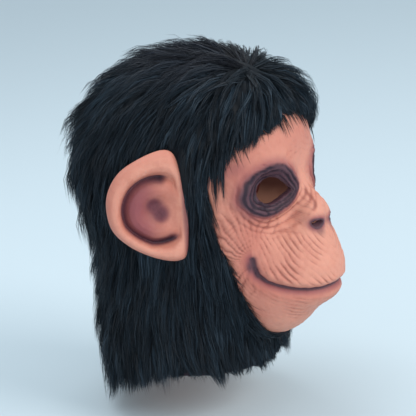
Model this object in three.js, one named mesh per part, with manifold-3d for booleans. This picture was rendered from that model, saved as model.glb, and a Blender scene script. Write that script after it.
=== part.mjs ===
import * as THREE from 'three';
import Module from 'manifold-3d';
import { mergeVertices } from 'three/addons/utils/BufferGeometryUtils.js';

// An ape mask of thin latex that covers the whole head, with cast ears and a coat of long fur.
// Millimetres, +Z up, the face looks towards -Y and the mask's right side is at -X.
// The origin is inside the crown, where the mask sits on the top of the wearer's head.

// Latex head
const HEAD_WIDTH = 180;
const HEAD_DEPTH = 220;
const SKULL_HEIGHT = 200;
const HEM_DROP = 305;
const LATEX = 2;

// Eyes and nostrils
const EYE_HOLE_WIDTH = 33;
const EYE_HOLE_HEIGHT = 28;
const EYE_TILT = 20;
const EYE_FOLD = 5;
const NOSTRIL_WIDTH = 13;
const NOSTRIL_HEIGHT = 7;
const NOSTRIL_DEPTH = 26;
const NOSTRIL_CLEAR = 5;

// Mouth: how far its middle is below the crown is a share of half the skull's height
const MOUTH_DROP = 2.13;
const MOUTH_WIDTH = 127;
const MOUTH_RISE = 34;
const MOUTH_CURL = 7;
const CREASE_DEPTH = 4;
const CREASE_WIDTH = 13;

// Ears
const EAR_WIDTH = 74;
const EAR_HEIGHT = 112;
const EAR_WALL = 3;
const EAR_RIM = 6;
const EAR_STEM = 30;
const EAR_FLARE = 38;

// Fur: how far each stretch stands off the latex, and how far its locks hang below the hem
const CROWN_PILE = 26;
const BROW_PILE = 11;
const TEMPLE_PILE = 15;
const BACK_PILE = 26;
const HEM_PILE = 17;
const JAW_PILE = 9;
const BEARD_PILE = 14;
const LOCK_WIDTH = 16;
const LOCK_TIP = 11;
const NAPE_HANG = 50;
const SIDE_HANG = 6;

// Clearances
const GAP = 0.3;
const BACKING_GAP = 1.5;
const SEAM_GAP = 1.6;

const HALF = { x: HEAD_WIDTH / 2, y: HEAD_DEPTH / 2, z: SKULL_HEIGHT / 2 };
const SKULL_MIDDLE = 0.98 * HALF.z;

// Rounded masses that make the head. side, back and drop place each centre and wide, deep and high
// are its radii, as shares of half the head's width, depth and skull height. blend is how far a mass
// melts into those before it, as a share of half the skull's height.
const MASSES = [
  { name: 'skull', side: 0, back: 0.13, drop: 0.975, wide: 1, deep: 1, high: 1, blend: 0 },
  { name: 'forehead', side: 0, back: -0.4, drop: 0.82, wide: 0.83, deep: 0.61, high: 0.72, blend: 0.3 },
  { name: 'neck', side: 0, back: 0.2, drop: 2.9, wide: 0.91, deep: 0.8, high: 2.3, blend: 0.4 },
  { name: 'cheek', side: 0.51, back: -0.47, drop: 1.48, wide: 0.38, deep: 0.33, high: 0.6, blend: 0.25 },
  { name: 'jaw', side: 0.29, back: -0.58, drop: 2.05, wide: 0.4, deep: 0.45, high: 0.5, blend: 0.25 },
  { name: 'muzzle', side: 0, back: -0.84, drop: 1.98, wide: 0.54, deep: 0.51, high: 0.46, blend: 0.26 },
  { name: 'lips', side: 0, back: -0.95, drop: 2.18, wide: 0.38, deep: 0.34, high: 0.18, blend: 0.14 },
  { name: 'upper lip', side: 0, back: -0.96, drop: 1.68, wide: 0.33, deep: 0.29, high: 0.26, blend: 0.16 },
  { name: 'chin', side: 0, back: -0.69, drop: 2.4, wide: 0.42, deep: 0.33, high: 0.32, blend: 0.22 },
  { name: 'nose wing', side: 0.1, back: -1.1, drop: 1.46, wide: 0.12, deep: 0.11, high: 0.09, blend: 0.12 },
];

// The bridge of the nose, from between the eyes to the tip, in the same shares
const NOSE_TOP = { side: 0, back: -0.89, drop: 0.98 };
const NOSE_TIP = { side: 0, back: -1.1, drop: 1.34 };
const NOSE_RADIUS = 0.115;
const NOSE_BLEND = 0.16;

// The middle of the eye and nostril on the +X side, in the same shares, and the way that each looks out
const EYE_PLACE = { side: 0.44, back: -0.84, drop: 1.1 };
const EYE_OUTWARD = new THREE.Vector3(0.5, -0.86, 0.05).normalize();
const NOSTRIL_PLACE = { side: 0.15, back: -1.2, drop: 1.49 };
const NOSTRIL_OUTWARD = new THREE.Vector3(0.3, -0.8, -0.5).normalize();

// The mound that an eye sits on and the socket carved out of it. out is how far the middle stands out
// of the face, and along, across and deep are the radii, as shares of half the eye hole's width.
const EYE_MOUND = { out: -0.42, along: 2, across: 1.64, deep: 0.85, blend: 1 };
const EYE_SOCKET = { out: 0.79, along: 1.33, across: 1.1, deep: 1.03, blend: 0.73 };

// Folds of skin round each eye: reach is a share of the hole's own size, and stand and thick are
// shares of the fold's full size
const EYE_FOLDS = [
  { name: 'outer fold', reach: 1.7, stand: 0.4, thick: 0.5, blend: 1.6 },
  { name: 'inner fold', reach: 1.21, stand: -0.4, thick: 0.48, blend: 1 },
];

// The fringe and the top of the coat round the head. round is the angle from the middle of the face,
// turn is how far down the head.
const COAT_EDGE = [
  { round: 0, turn: 0.69 },
  { round: 12, turn: 0.74 },
  { round: 34, turn: 0.785 },
  { round: 46, turn: 0.83 },
  { round: 54, turn: 0.92 },
  { round: 66, turn: 0.92 },
  { round: 76, turn: 0.78 },
  { round: 180, turn: 0.75 },
];

// The bare face's side edge, from the temple down to the chin
const FACE_EDGE = [
  { turn: 0.9, round: 54 },
  { turn: 1.2, round: 56 },
  { turn: 1.5, round: 53.5 },
  { turn: 1.8, round: 48 },
  { turn: 2.3, round: 38 },
  { turn: 2.6, round: 29 },
];

// Where an ear's root and its middle are. The root is placed in shares of the head, and the middle
// in shares of the ear's width, out from the root, and of its height, up from the root.
const EAR_ROOT = { side: 1.02, back: -0.24, drop: 1.18 };
const EAR_MIDDLE = { out: 0.33, up: -0.02 };

// Towards the root the ear's roll sinks by sinking, from rolled out to flat, and a stem that holds the
// ear to the head grows there. The stem is full up to the height thick and ends at the height thin.
const EAR_FRONT = { rolled: 0.3, flat: -0.02, sinking: 0.7, thick: 0.25, thin: 0.42 };

// The outline of an ear from the front of its root round the top, the back and the lobe, as shares
// of its width, out from the root, and of its height, up from its middle
const EAR_OUTLINE = [
  { name: 'root top', out: 0.02, up: 0.38 },
  { name: 'top', out: 0.16, up: 0.5 },
  { name: 'upper bend', out: 0.48, up: 0.455 },
  { name: 'upper back', out: 0.8, up: 0.33 },
  { name: 'back', out: 0.97, up: 0.12 },
  { name: 'lower back', out: 0.94, up: -0.14 },
  { name: 'lower bend', out: 0.72, up: -0.32 },
  { name: 'lobe', out: 0.4, up: -0.445 },
  { name: 'lobe foot', out: 0.1, up: -0.49 },
  { name: 'root foot', out: -0.03, up: -0.4 },
  { name: 'root', out: -0.06, up: 0 },
];

// The ear's relief from its middle to its rim: lift is a share of the rim's roll
const EAR_RELIEF = [
  { share: 0, lift: -0.7 },
  { share: 0.2, lift: -0.6 },
  { share: 0.38, lift: 0.35 },
  { share: 0.54, lift: 0.1 },
  { share: 0.68, lift: -0.75 },
  { share: 0.78, lift: 0.85 },
  { share: 0.9, lift: 0.8 },
  { share: 1, lift: 0.2 },
];

// Where the coat's pieces meet: the sideburn's top and the beard's top, in turns, and the angle
// where the sideburn ends and the nape begins. Behind the ear the nape stands further back by clear,
// down to the turns from and to.
const SIDEBURN_TOP = 0.92;
const BEARD_TOP = 2.78;
const BEARD_ARCH = 0.14;
const BEARD_INSET = 1.4;
const SIDE_SEAM = 71;
const NAPE_INSET = 1.2;
const BEHIND_EAR = { clear: 16, from: 1.72, to: 1.9 };
const FRINGE_ROUND = 48;

// How the locks differ, as shares of the coat's depth or of a lock's tip
const VALLEY = 0.7;
const LAYERS = 3;
const LAYER_STEP = 0.16;
const THIN_TIP = 0.25;
const THIN_FRINGE = 0.3;
const UNEVEN = 0.45;

// How finely each piece is faceted. The head's rows are a few on the crown, an even step apart, then
// those of the face between two turns, and two down to the hem.
const HEAD_COLUMNS = 56;
const HEAD_ROWS = 33;
const LINING_COLUMNS = 28;
const LINING_ROWS = 20;
const CROWN_ROWS = 5;
const CROWN_STEP = 0.13;
const FACE_TOP = 0.72;
const FACE_FOOT = 2.85;
const FACE_CROWDING = 0.6;
const FRINGE_CROWDING = 0.35;
const NAPE_CROWDING = 1.35;
const DEEPENING = 1.5;
const EAR_COLUMNS = 24;
const HOLE_SIDES = 20;
const COAT_ROWS = { crown: 8, sideburn: 10, beard: 4, nape: 10 };
const COAT_LOCKS = { sideburn: 4, beard: 5, nape: 18 };
const FAR_OUT = HEAD_WIDTH + HEAD_DEPTH;

const LOOKS = {
  skin: { color: 0xe0a08a, roughness: 0.6, metalness: 0 },
  fur: { color: 0x14171a, roughness: 0.75, metalness: 0 },
};

const { clamp, degToRad, lerp, radToDeg, smoothstep } = THREE.MathUtils;
const UP = new THREE.Vector3(0, 0, 1);
const FULL_ROUND = 360;
const HALF_ROUND = 180;

function place({ side, back, drop }) {
  return new THREE.Vector3(side * HALF.x, back * HALF.y, -drop * HALF.z);
}

// Reads a table of rows at a value of its first column, in straight steps
function readTable(table, key, value, wanted) {
  const last = table.length - 1;
  if (value <= table[0][key]) return table[0][wanted];
  if (value >= table[last][key]) return table[last][wanted];
  const next = table.findIndex((row) => row[key] > value);
  const before = table[next - 1];
  const share = (value - before[key]) / (table[next][key] - before[key]);
  return lerp(before[wanted], table[next][wanted], share);
}

// Joins two distances with a soft fillet of the given size
function melt(a, b, size) {
  if (size <= 0) return Math.min(a, b);
  const h = clamp(0.5 + (0.5 * (b - a)) / size, 0, 1);
  return lerp(b, a, h) - size * h * (1 - h);
}

function carve(a, b, size) {
  return -melt(-a, b, size);
}

function ellipsoidDistance(p, centre, radii) {
  const x = p.x - centre.x;
  const y = p.y - centre.y;
  const z = p.z - centre.z;
  const near = Math.hypot(x / radii.x, y / radii.y, z / radii.z);
  const slope = Math.hypot(x / radii.x ** 2, y / radii.y ** 2, z / radii.z ** 2);
  return slope > 1e-9 ? (near * (near - 1)) / slope : -Math.min(radii.x, radii.y, radii.z);
}

function rodDistance(p, from, to, radius) {
  const line = to.clone().sub(from);
  const share = clamp(p.clone().sub(from).dot(line) / line.lengthSq(), 0, 1);
  return p.distanceTo(from.clone().addScaledVector(line, share)) - radius;
}

// The eye's own directions: along the hole, across it and out of the face
const eyeCentre = place(EYE_PLACE);
const eyeReach = EYE_HOLE_WIDTH / 2;
const levelSide = new THREE.Vector3().crossVectors(EYE_OUTWARD, UP).normalize();
const eyeAlong = levelSide.clone().applyAxisAngle(EYE_OUTWARD, degToRad(EYE_TILT));
const eyeAcross = new THREE.Vector3().crossVectors(eyeAlong, EYE_OUTWARD);

function eyeDistance(p, { out, along, across, deep }) {
  const from = p.clone().sub(eyeCentre).addScaledVector(EYE_OUTWARD, -out * eyeReach);
  const local = new THREE.Vector3(from.dot(eyeAlong), from.dot(eyeAcross), from.dot(EYE_OUTWARD));
  const radii = new THREE.Vector3(along, across, deep).multiplyScalar(eyeReach);
  return ellipsoidDistance(local, new THREE.Vector3(), radii);
}

// A rounded ring of skin round the eye hole
function foldDistance(p, { reach, stand, thick }) {
  const from = p.clone().sub(eyeCentre);
  const halfWide = (EYE_HOLE_WIDTH / 2) * reach;
  const halfHigh = (EYE_HOLE_HEIGHT / 2) * reach;
  const round = Math.hypot(from.dot(eyeAlong) / halfWide, from.dot(eyeAcross) / halfHigh);
  const apart = (round - 1) * ((halfWide + halfHigh) / 2);
  return Math.hypot(apart, from.dot(EYE_OUTWARD) - stand * EYE_FOLD) - thick * EYE_FOLD;
}

const masses = MASSES.map((mass) => ({
  centre: place(mass),
  radii: new THREE.Vector3(mass.wide * HALF.x, mass.deep * HALF.y, mass.high * HALF.z),
  blend: mass.blend * HALF.z,
}));
const noseTop = place(NOSE_TOP);
const noseTip = place(NOSE_TIP);

// Depth of the crease between the lips at a point: it runs level in front and turns up at its ends
function mouthCrease(p) {
  const corner = MOUTH_WIDTH / 2;
  const share = Math.min(Math.abs(p.x) / corner, 1.1);
  const away = p.z + MOUTH_DROP * HALF.z - MOUTH_RISE * share ** MOUTH_CURL;
  const slope = (MOUTH_CURL * MOUTH_RISE * share ** (MOUTH_CURL - 1)) / corner;
  const apart = away / Math.hypot(1, slope);
  const inFront = smoothstep(-p.y, 0.55 * HALF.y, 0.75 * HALF.y);
  const within = 1 - smoothstep(share, 1, 1.08);
  return CREASE_DEPTH * inFront * within * Math.exp(-((apart / (CREASE_WIDTH / 2)) ** 2));
}

// Distance from the latex's outer face: below zero inside the head. With features left off it
// gives the plain form that the lining and the fur's backing follow.
function headDistance(point, withFeatures = true) {
  const p = new THREE.Vector3(Math.abs(point.x), point.y, point.z);
  let distance = Infinity;
  for (const { centre, radii, blend } of masses) {
    distance = melt(distance, ellipsoidDistance(p, centre, radii), distance === Infinity ? 0 : blend);
  }
  const nose = rodDistance(p, noseTop, noseTip, NOSE_RADIUS * HALF.z);
  distance = melt(distance, nose, NOSE_BLEND * HALF.z);
  distance = melt(distance, eyeDistance(p, EYE_MOUND), EYE_MOUND.blend * eyeReach);
  distance = carve(distance, eyeDistance(p, EYE_SOCKET), EYE_SOCKET.blend * eyeReach);
  if (!withFeatures) return distance;
  for (const fold of EYE_FOLDS) {
    distance = melt(distance, foldDistance(p, fold), fold.blend * EYE_FOLD);
  }
  return distance + mouthCrease(p);
}

// The point of the head's surface, or of one offset from it, at an angle round the head and a turn
// down it. turn is 0 at the crown and 1 level with the middle of the skull, where it stops fanning
// out and goes straight down, by 1 for each half skull height.
function skinPoint(round, turn, offset = 0, withFeatures = true) {
  const tilt = (clamp(turn, 0, 1) * Math.PI) / 2;
  const start = new THREE.Vector3(0, 0, -SKULL_MIDDLE - Math.max(turn - 1, 0) * HALF.z);
  const spread = Math.sin(tilt);
  const direction = new THREE.Vector3(Math.sin(round) * spread, -Math.cos(round) * spread, Math.cos(tilt));
  let reach = FAR_OUT;
  const point = new THREE.Vector3();
  for (let step = 0; step < 90; step++) {
    point.copy(start).addScaledVector(direction, reach);
    const apart = headDistance(point, withFeatures) - offset;
    reach -= apart * 0.75;
    if (Math.abs(apart) < 0.01) break;
  }
  return point;
}

function turnAtDrop(drop) {
  return 1 + (drop - SKULL_MIDDLE) / HALF.z;
}

function geometryFrom(points, faces) {
  const geometry = new THREE.BufferGeometry();
  geometry.setAttribute('position', new THREE.Float32BufferAttribute(points.flatMap((p) => p.toArray()), 3));
  geometry.setIndex(faces);
  return geometry;
}

// A closed body from rings of points, one below the other, with a point at each end. The facets
// of the rings' second half mirror those of the first.
function ringedBody(top, rings, bottom) {
  const count = rings[0].length;
  const at = (ring, k) => 1 + ring * count + (k % count);
  const end = 1 + rings.length * count;
  const faces = [];
  for (let k = 0; k < count; k++) {
    faces.push(0, at(0, k), at(0, k + 1));
    for (let ring = 0; ring < rings.length - 1; ring++) {
      const corners = [at(ring, k), at(ring + 1, k), at(ring + 1, k + 1), at(ring, k + 1)];
      if (k >= count / 2) corners.push(corners.shift());
      const [a, b, c, d] = corners;
      faces.push(a, b, c, a, c, d);
    }
    faces.push(end, at(rings.length - 1, k + 1), at(rings.length - 1, k));
  }
  return geometryFrom([top, ...rings.flat(), bottom], faces);
}

// A closed slab between two grids of points that have the same rows and columns
function slab(outer, inner) {
  const rows = outer.length;
  const columns = outer[0].length;
  const at = (side, row, column) => side * rows * columns + row * columns + column;
  const faces = [];
  const quad = (a, b, c, d) => faces.push(a, b, c, a, c, d);
  for (let row = 0; row < rows - 1; row++) {
    for (let column = 0; column < columns - 1; column++) {
      quad(at(0, row, column), at(0, row + 1, column), at(0, row + 1, column + 1), at(0, row, column + 1));
      quad(at(1, row, column), at(1, row, column + 1), at(1, row + 1, column + 1), at(1, row + 1, column));
    }
    quad(at(0, row, 0), at(1, row, 0), at(1, row + 1, 0), at(0, row + 1, 0));
    const edge = columns - 1;
    quad(at(0, row, edge), at(0, row + 1, edge), at(1, row + 1, edge), at(1, row, edge));
  }
  for (let column = 0; column < columns - 1; column++) {
    quad(at(0, 0, column), at(0, 0, column + 1), at(1, 0, column + 1), at(1, 0, column));
    const foot = rows - 1;
    quad(at(0, foot, column), at(1, foot, column), at(1, foot, column + 1), at(0, foot, column + 1));
  }
  return geometryFrom([...outer.flat(), ...inner.flat()], faces);
}

const wasm = await Module();
wasm.setup();

function toSolid(geometry) {
  const bare = geometry.clone();
  bare.deleteAttribute('normal');
  bare.deleteAttribute('uv');
  const merged = mergeVertices(bare, 1e-4);
  const vertProperties = new Float32Array(merged.attributes.position.array);
  const triVerts = new Uint32Array(merged.index.array);
  return new wasm.Manifold(new wasm.Mesh({ numProp: 3, vertProperties, triVerts }));
}

function toGeometry(solid) {
  const { vertProperties, triVerts } = solid.getMesh();
  const geometry = new THREE.BufferGeometry();
  geometry.setAttribute('position', new THREE.BufferAttribute(vertProperties, 3));
  geometry.setIndex(new THREE.BufferAttribute(triVerts, 1));
  geometry.computeVertexNormals();
  return geometry;
}

// The same body on the other side of the face
function mirrored(geometry) {
  const copy = geometry.clone();
  copy.scale(-1, 1, 1);
  const index = copy.index.array;
  for (let k = 0; k < index.length; k += 3) {
    const swapped = index[k + 1];
    index[k + 1] = index[k + 2];
    index[k + 2] = swapped;
  }
  return copy;
}

// Angles round the head, closer together on the face
function headAngles(count, crowding, start = 0) {
  return Array.from({ length: count }, (_, k) => {
    const even = (2 * Math.PI * (k + start)) / count;
    return even - crowding * Math.sin(even);
  });
}

// Turns down the head, closer together from the brow to the chin
function headTurns(count, lowest) {
  const crown = Array.from({ length: CROWN_ROWS }, (_, k) => CROWN_STEP * (k + 1));
  const faceRows = count - CROWN_ROWS - 2;
  const face = Array.from({ length: faceRows }, (_, k) => lerp(FACE_TOP, FACE_FOOT, k / (faceRows - 1)));
  return [...crown, ...face, lerp(FACE_FOOT, lowest, 0.5), lowest];
}

function headBody(offset, lowest) {
  const angles = headAngles(HEAD_COLUMNS, FACE_CROWDING);
  const turns = headTurns(HEAD_ROWS, lowest);
  const rings = turns.map((turn) => angles.map((round) => skinPoint(round, turn, offset)));
  const foot = new THREE.Vector3(0, 0, rings.at(-1)[0].z);
  return toSolid(ringedBody(skinPoint(0, 0, offset), rings, foot));
}

// The inside of the latex, with larger facets than the outside. Where a facet would cut across the
// bottom of a fold, its corners go deeper, so the wall is never thinner than it should be.
function liningBody(lowest) {
  const angles = headAngles(LINING_COLUMNS, FACE_CROWDING);
  const turns = headTurns(LINING_ROWS, lowest);
  const grid = (depthAt) => turns.map((turn, row) =>
    angles.map((round, column) => skinPoint(round, turn, -depthAt(row, column))));
  const even = grid(() => LATEX);
  const steps = [-1, 0, 1].flatMap((down) => [-1, 0, 1].map((across) => ({ down, across })));
  const shortfall = (row, column) => Math.max(...steps.map(({ down, across }) => {
    const nextRow = clamp(row + down, 0, turns.length - 1);
    const next = even[nextRow][(column + across + LINING_COLUMNS) % LINING_COLUMNS];
    return headDistance(even[row][column].clone().lerp(next, 0.5)) + LATEX;
  }));
  const rings = grid((row, column) => LATEX + DEEPENING * Math.max(0, shortfall(row, column)));
  const foot = new THREE.Vector3(0, 0, rings.at(-1)[0].z);
  return toSolid(ringedBody(skinPoint(0, 0, -LATEX), rings, foot));
}

// An oval rod that cuts a hole through the latex, on the +X side. It stands clear of the skin by
// clear and reaches in by the rest of its length.
function ovalCutter({ centre, outward, alongHole, width, height, length, clear }) {
  const rod = new THREE.CylinderGeometry(1, 1, length, HOLE_SIDES);
  rod.scale(width / 2, 1, height / 2);
  const across = new THREE.Vector3().crossVectors(alongHole, outward);
  const middle = centre.clone().addScaledVector(outward, clear - length / 2);
  return rod.applyMatrix4(new THREE.Matrix4().makeBasis(alongHole, outward, across).setPosition(middle));
}

function latexHead() {
  const hem = turnAtDrop(HEM_DROP);
  const outside = headBody(0, hem);
  const belowHem = turnAtDrop(HEM_DROP + 5 * LATEX);
  const lining = liningBody(belowHem);
  const eyeCut = ovalCutter({
    centre: eyeCentre,
    outward: EYE_OUTWARD,
    alongHole: eyeAlong,
    width: EYE_HOLE_WIDTH,
    height: EYE_HOLE_HEIGHT,
    length: EYE_HOLE_WIDTH,
    clear: EYE_HOLE_WIDTH / 2,
  });
  const nostrilCut = ovalCutter({
    centre: place(NOSTRIL_PLACE),
    outward: NOSTRIL_OUTWARD,
    alongHole: new THREE.Vector3().crossVectors(NOSTRIL_OUTWARD, UP).normalize(),
    width: NOSTRIL_WIDTH,
    height: NOSTRIL_HEIGHT,
    length: NOSTRIL_DEPTH,
    clear: NOSTRIL_CLEAR,
  });
  let shell = outside.subtract(lining);
  for (const cut of [eyeCut, nostrilCut]) {
    shell = shell.subtract(toSolid(cut)).subtract(toSolid(mirrored(cut)));
  }
  return shell;
}

// The left ear, on the +X side. It is a rolled sheet whose root reaches in past the head's side.
// grow makes it larger all round, for cutting the room that it needs out of the fur.
function earBody(grow = 0) {
  const flare = degToRad(EAR_FLARE);
  const outwards = new THREE.Vector3(Math.sin(flare), Math.cos(flare), 0);
  const facing = new THREE.Vector3(Math.cos(flare), -Math.sin(flare), 0);
  const root = place(EAR_ROOT);
  const flatPoint = ({ out, up }) => new THREE.Vector3(out * EAR_WIDTH, up * EAR_HEIGHT, 0);
  const curve = new THREE.CatmullRomCurve3(EAR_OUTLINE.map(flatPoint).reverse(), true);
  const outline = curve.getSpacedPoints(EAR_COLUMNS).slice(0, -1);
  const middle = flatPoint(EAR_MIDDLE);
  const { rolled, sinking, thick, thin } = EAR_FRONT;
  const spot = (flat, lift) => root.clone()
    .addScaledVector(outwards, flat.x)
    .add(new THREE.Vector3(0, 0, flat.y))
    .addScaledVector(facing, lift);
  const rings = (isFront) => EAR_RELIEF.filter(({ share }) => share > 0).map(({ share, lift }) =>
    outline.map((rim) => {
      const flat = middle.clone().lerp(rim, share);
      const stretch = 1 + (grow * share) / flat.distanceTo(middle);
      const wide = middle.clone().lerp(flat, stretch);
      const towardsRoot = smoothstep(-flat.x, -rolled * EAR_WIDTH, -EAR_FRONT.flat * EAR_WIDTH);
      const relief = lift * EAR_RIM * (1 - sinking * towardsRoot);
      const narrowing = smoothstep(Math.abs(flat.y), thick * EAR_HEIGHT, thin * EAR_HEIGHT);
      const stem = EAR_STEM * towardsRoot * (1 - narrowing);
      return spot(wide, isFront ? relief + grow : relief - EAR_WALL - grow - stem);
    }));
  const front = rings(true);
  const back = rings(false).reverse();
  const deepest = EAR_RELIEF[0].lift * EAR_RIM;
  const frontMiddle = spot(middle, deepest + grow);
  const backMiddle = spot(middle, deepest - EAR_WALL - grow);
  return toSolid(ringedBody(frontMiddle, [...front, ...back], backMiddle));
}

// The thickness of the coat at a place in a lock. Each lock is a ridge, its layers overlap down the
// coat like shingles, and it thins out to its tip.
function lockDepth(pile, column, row, rows) {
  const lock = Math.floor(column / 2);
  const ridge = column % 2 === 1 ? 1 : VALLEY;
  const layer = ((row + lock) % LAYERS) / (LAYERS - 1);
  const tip = row === rows ? THIN_TIP : 1;
  return pile * ridge * (1 - LAYER_STEP + LAYER_STEP * layer) * tip;
}

// How far a lock hangs past the edge of its panel. Locks differ, and always in the same way.
function lockTip(column) {
  const lock = Math.floor(column / 2);
  const uneven = 0.5 + 0.5 * Math.sin(lock * 2.4);
  return column % 2 === 1 ? LOCK_TIP * (1 - UNEVEN + UNEVEN * uneven) : 0;
}

// The fur on top of the head, from the whorl to the fringe, in one piece round the head
function furCrown() {
  const locks = Math.round((2 * Math.PI * HALF.x) / (LOCK_WIDTH * 1.5));
  const angles = headAngles(2 * locks, FRINGE_CROWDING, 0.5);
  const rows = COAT_ROWS.crown;
  const fanLength = (HALF.y * Math.PI) / 2;
  const grid = (isCoat) => Array.from({ length: rows }, (_, k) => k + 1).map((row) =>
    angles.map((round, column) => {
      const degrees = Math.abs(((radToDeg(round) + HALF_ROUND) % FULL_ROUND) - HALF_ROUND);
      const share = row / rows;
      const isFringe = degrees < FRINGE_ROUND && row === rows;
      const tip = isFringe ? (lockTip(column) - LOCK_TIP / 3) / fanLength : 0;
      const turn = readTable(COAT_EDGE, 'round', degrees, 'turn') * share + tip;
      const sideways = degrees / (HALF_ROUND / 2);
      const edgePile = sideways < 1
        ? lerp(BROW_PILE, TEMPLE_PILE, sideways)
        : lerp(TEMPLE_PILE, BACK_PILE, sideways - 1);
      const pile = lerp(CROWN_PILE, edgePile, share ** 1.5);
      const depth = isFringe ? THIN_FRINGE * pile : lockDepth(pile, column, row, rows + 1);
      return skinPoint(round, turn, isCoat ? BACKING_GAP + depth : BACKING_GAP, false);
    }));
  const whorl = skinPoint(0, 0, BACKING_GAP + 0.9 * CROWN_PILE, false);
  const backing = skinPoint(0, 0, BACKING_GAP, false);
  return toSolid(ringedBody(whorl, [...grid(true), ...grid(false).reverse()], backing));
}

// A panel of fur. from and to give its side edges in degrees at a turn, top and foot its ends at a
// share across it, and pile how far it stands off at a share across and a share down.
function furPanel({ locks, rows, crowding = 1, from, to, top, foot, pile }) {
  const columns = 2 * locks;
  const grid = (isCoat) => Array.from({ length: rows + 1 }, (_, row) =>
    Array.from({ length: columns + 1 }, (_, column) => {
      const across = column / columns;
      const down = row / rows;
      const turn = lerp(top(across), foot(across) + lockTip(column) / HALF.z, down ** crowding);
      const round = degToRad(lerp(from(turn), to(turn), across));
      const depth = lockDepth(pile(across, down), column, row, rows);
      return skinPoint(round, turn, isCoat ? BACKING_GAP + depth : BACKING_GAP, false);
    }));
  return toSolid(slab(grid(true), grid(false)));
}

const seamTurn = SEAM_GAP / HALF.z;
const hemTurn = turnAtDrop(HEM_DROP);
const sideFoot = hemTurn + (SIDE_HANG - LOCK_TIP) / HALF.z;

// Fur in front of the ear, down the cheek and the jaw to the hem, on the +X side
function furSideburn() {
  return furPanel({
    locks: COAT_LOCKS.sideburn,
    rows: COAT_ROWS.sideburn,
    from: (turn) => readTable(FACE_EDGE, 'turn', turn, 'round'),
    to: () => SIDE_SEAM,
    top: () => SIDEBURN_TOP + seamTurn,
    foot: () => sideFoot,
    pile: (across, down) => lerp(JAW_PILE, HEM_PILE, across * down),
  });
}

// Fur under the chin, down the throat to the hem
function furBeard() {
  const edge = FACE_EDGE.at(-1).round - BEARD_INSET;
  return furPanel({
    locks: COAT_LOCKS.beard,
    rows: COAT_ROWS.beard,
    from: () => -edge,
    to: () => edge,
    top: (across) => BEARD_TOP - BEARD_ARCH * (2 * across - 1) ** 2,
    foot: () => sideFoot,
    pile: (across, down) => lerp(JAW_PILE, BEARD_PILE, down),
  });
}

// Fur behind the ears and down the back, with the longest locks at the nape
function furNape() {
  const { clear, from, to } = BEHIND_EAR;
  const edge = (turn) => SIDE_SEAM + NAPE_INSET + clear * (1 - smoothstep(turn, from, to));
  const behind = (across) => 1 - Math.abs(2 * across - 1);
  const topRound = (across) => lerp(edge(0), HALF_ROUND, behind(across));
  const longest = (NAPE_HANG - SIDE_HANG) / HALF.z;
  return furPanel({
    locks: COAT_LOCKS.nape,
    rows: COAT_ROWS.nape,
    crowding: NAPE_CROWDING,
    from: edge,
    to: (turn) => FULL_ROUND - edge(turn),
    top: (across) => readTable(COAT_EDGE, 'round', topRound(across), 'turn') + seamTurn,
    foot: (across) => sideFoot + longest * smoothstep(behind(across), 0, 1),
    pile: (across, down) => {
      const topPile = lerp(TEMPLE_PILE, BACK_PILE, smoothstep(behind(across), 0, 0.7));
      return lerp(topPile, HEM_PILE, down ** 1.5);
    },
  });
}

function add(group, name, solid, look) {
  const mesh = new THREE.Mesh(toGeometry(solid), new THREE.MeshStandardMaterial({ ...look, name }));
  mesh.name = name;
  group.add(mesh);
}

function otherSide(solid) {
  return toSolid(mirrored(toGeometry(solid)));
}

const mask = new THREE.Group();
add(mask, 'latex_head', latexHead(), LOOKS.skin);

const headRoom = headBody(GAP, hemTurn);
const ear = earBody().subtract(headRoom);
add(mask, 'ear_left', ear, LOOKS.skin);
add(mask, 'ear_right', otherSide(ear), LOOKS.skin);

const earRoom = earBody(2 * GAP);
const bothEarRooms = earRoom.add(otherSide(earRoom));
add(mask, 'fur_crown', furCrown().subtract(bothEarRooms), LOOKS.fur);
add(mask, 'fur_nape', furNape().subtract(bothEarRooms), LOOKS.fur);
add(mask, 'fur_beard', furBeard(), LOOKS.fur);
const sideburn = furSideburn().subtract(earRoom);
add(mask, 'sideburn_left', sideburn, LOOKS.fur);
add(mask, 'sideburn_right', otherSide(sideburn), LOOKS.fur);

export default mask;
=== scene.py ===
"""Visual model of the ape mask: painted latex, two cast ears and a coat of long fur.

Sizes are millimetres inside the classes and metres in the meshes. +Z is up, the face looks towards
-Y and the mask's own right side is at -X. Angles round the head are degrees from the middle of the
face. A turn is how far down the head a place is: 0 at the crown, 1 level with the skull's middle.
"""

import logging
import math
from dataclasses import dataclass
from enum import Enum
from typing import Any, Callable

import bpy
import numpy as np
from mathutils import Matrix, Vector
from mathutils.kdtree import KDTree


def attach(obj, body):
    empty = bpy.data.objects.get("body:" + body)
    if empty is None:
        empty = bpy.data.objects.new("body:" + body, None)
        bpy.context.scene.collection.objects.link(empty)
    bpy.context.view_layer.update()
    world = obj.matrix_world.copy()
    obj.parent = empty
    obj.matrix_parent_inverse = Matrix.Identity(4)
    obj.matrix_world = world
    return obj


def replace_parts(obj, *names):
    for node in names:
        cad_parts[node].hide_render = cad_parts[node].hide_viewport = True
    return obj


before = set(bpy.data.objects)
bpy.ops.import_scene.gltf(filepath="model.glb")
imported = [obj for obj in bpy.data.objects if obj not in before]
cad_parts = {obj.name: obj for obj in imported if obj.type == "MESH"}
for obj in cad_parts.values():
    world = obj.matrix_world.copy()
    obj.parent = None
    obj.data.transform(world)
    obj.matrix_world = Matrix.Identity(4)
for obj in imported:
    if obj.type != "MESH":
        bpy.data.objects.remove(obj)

log = logging.getLogger("ape_mask")

Array = np.ndarray
Colour = tuple[float, float, float]

MM = 0.001
HALF = np.array([90.0, 110.0, 100.0])
SKULL_MIDDLE = 98.0
HEM = 305.0
LATEX = 2.0
FAR_OUT = 330.0


# Shader maths


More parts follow.
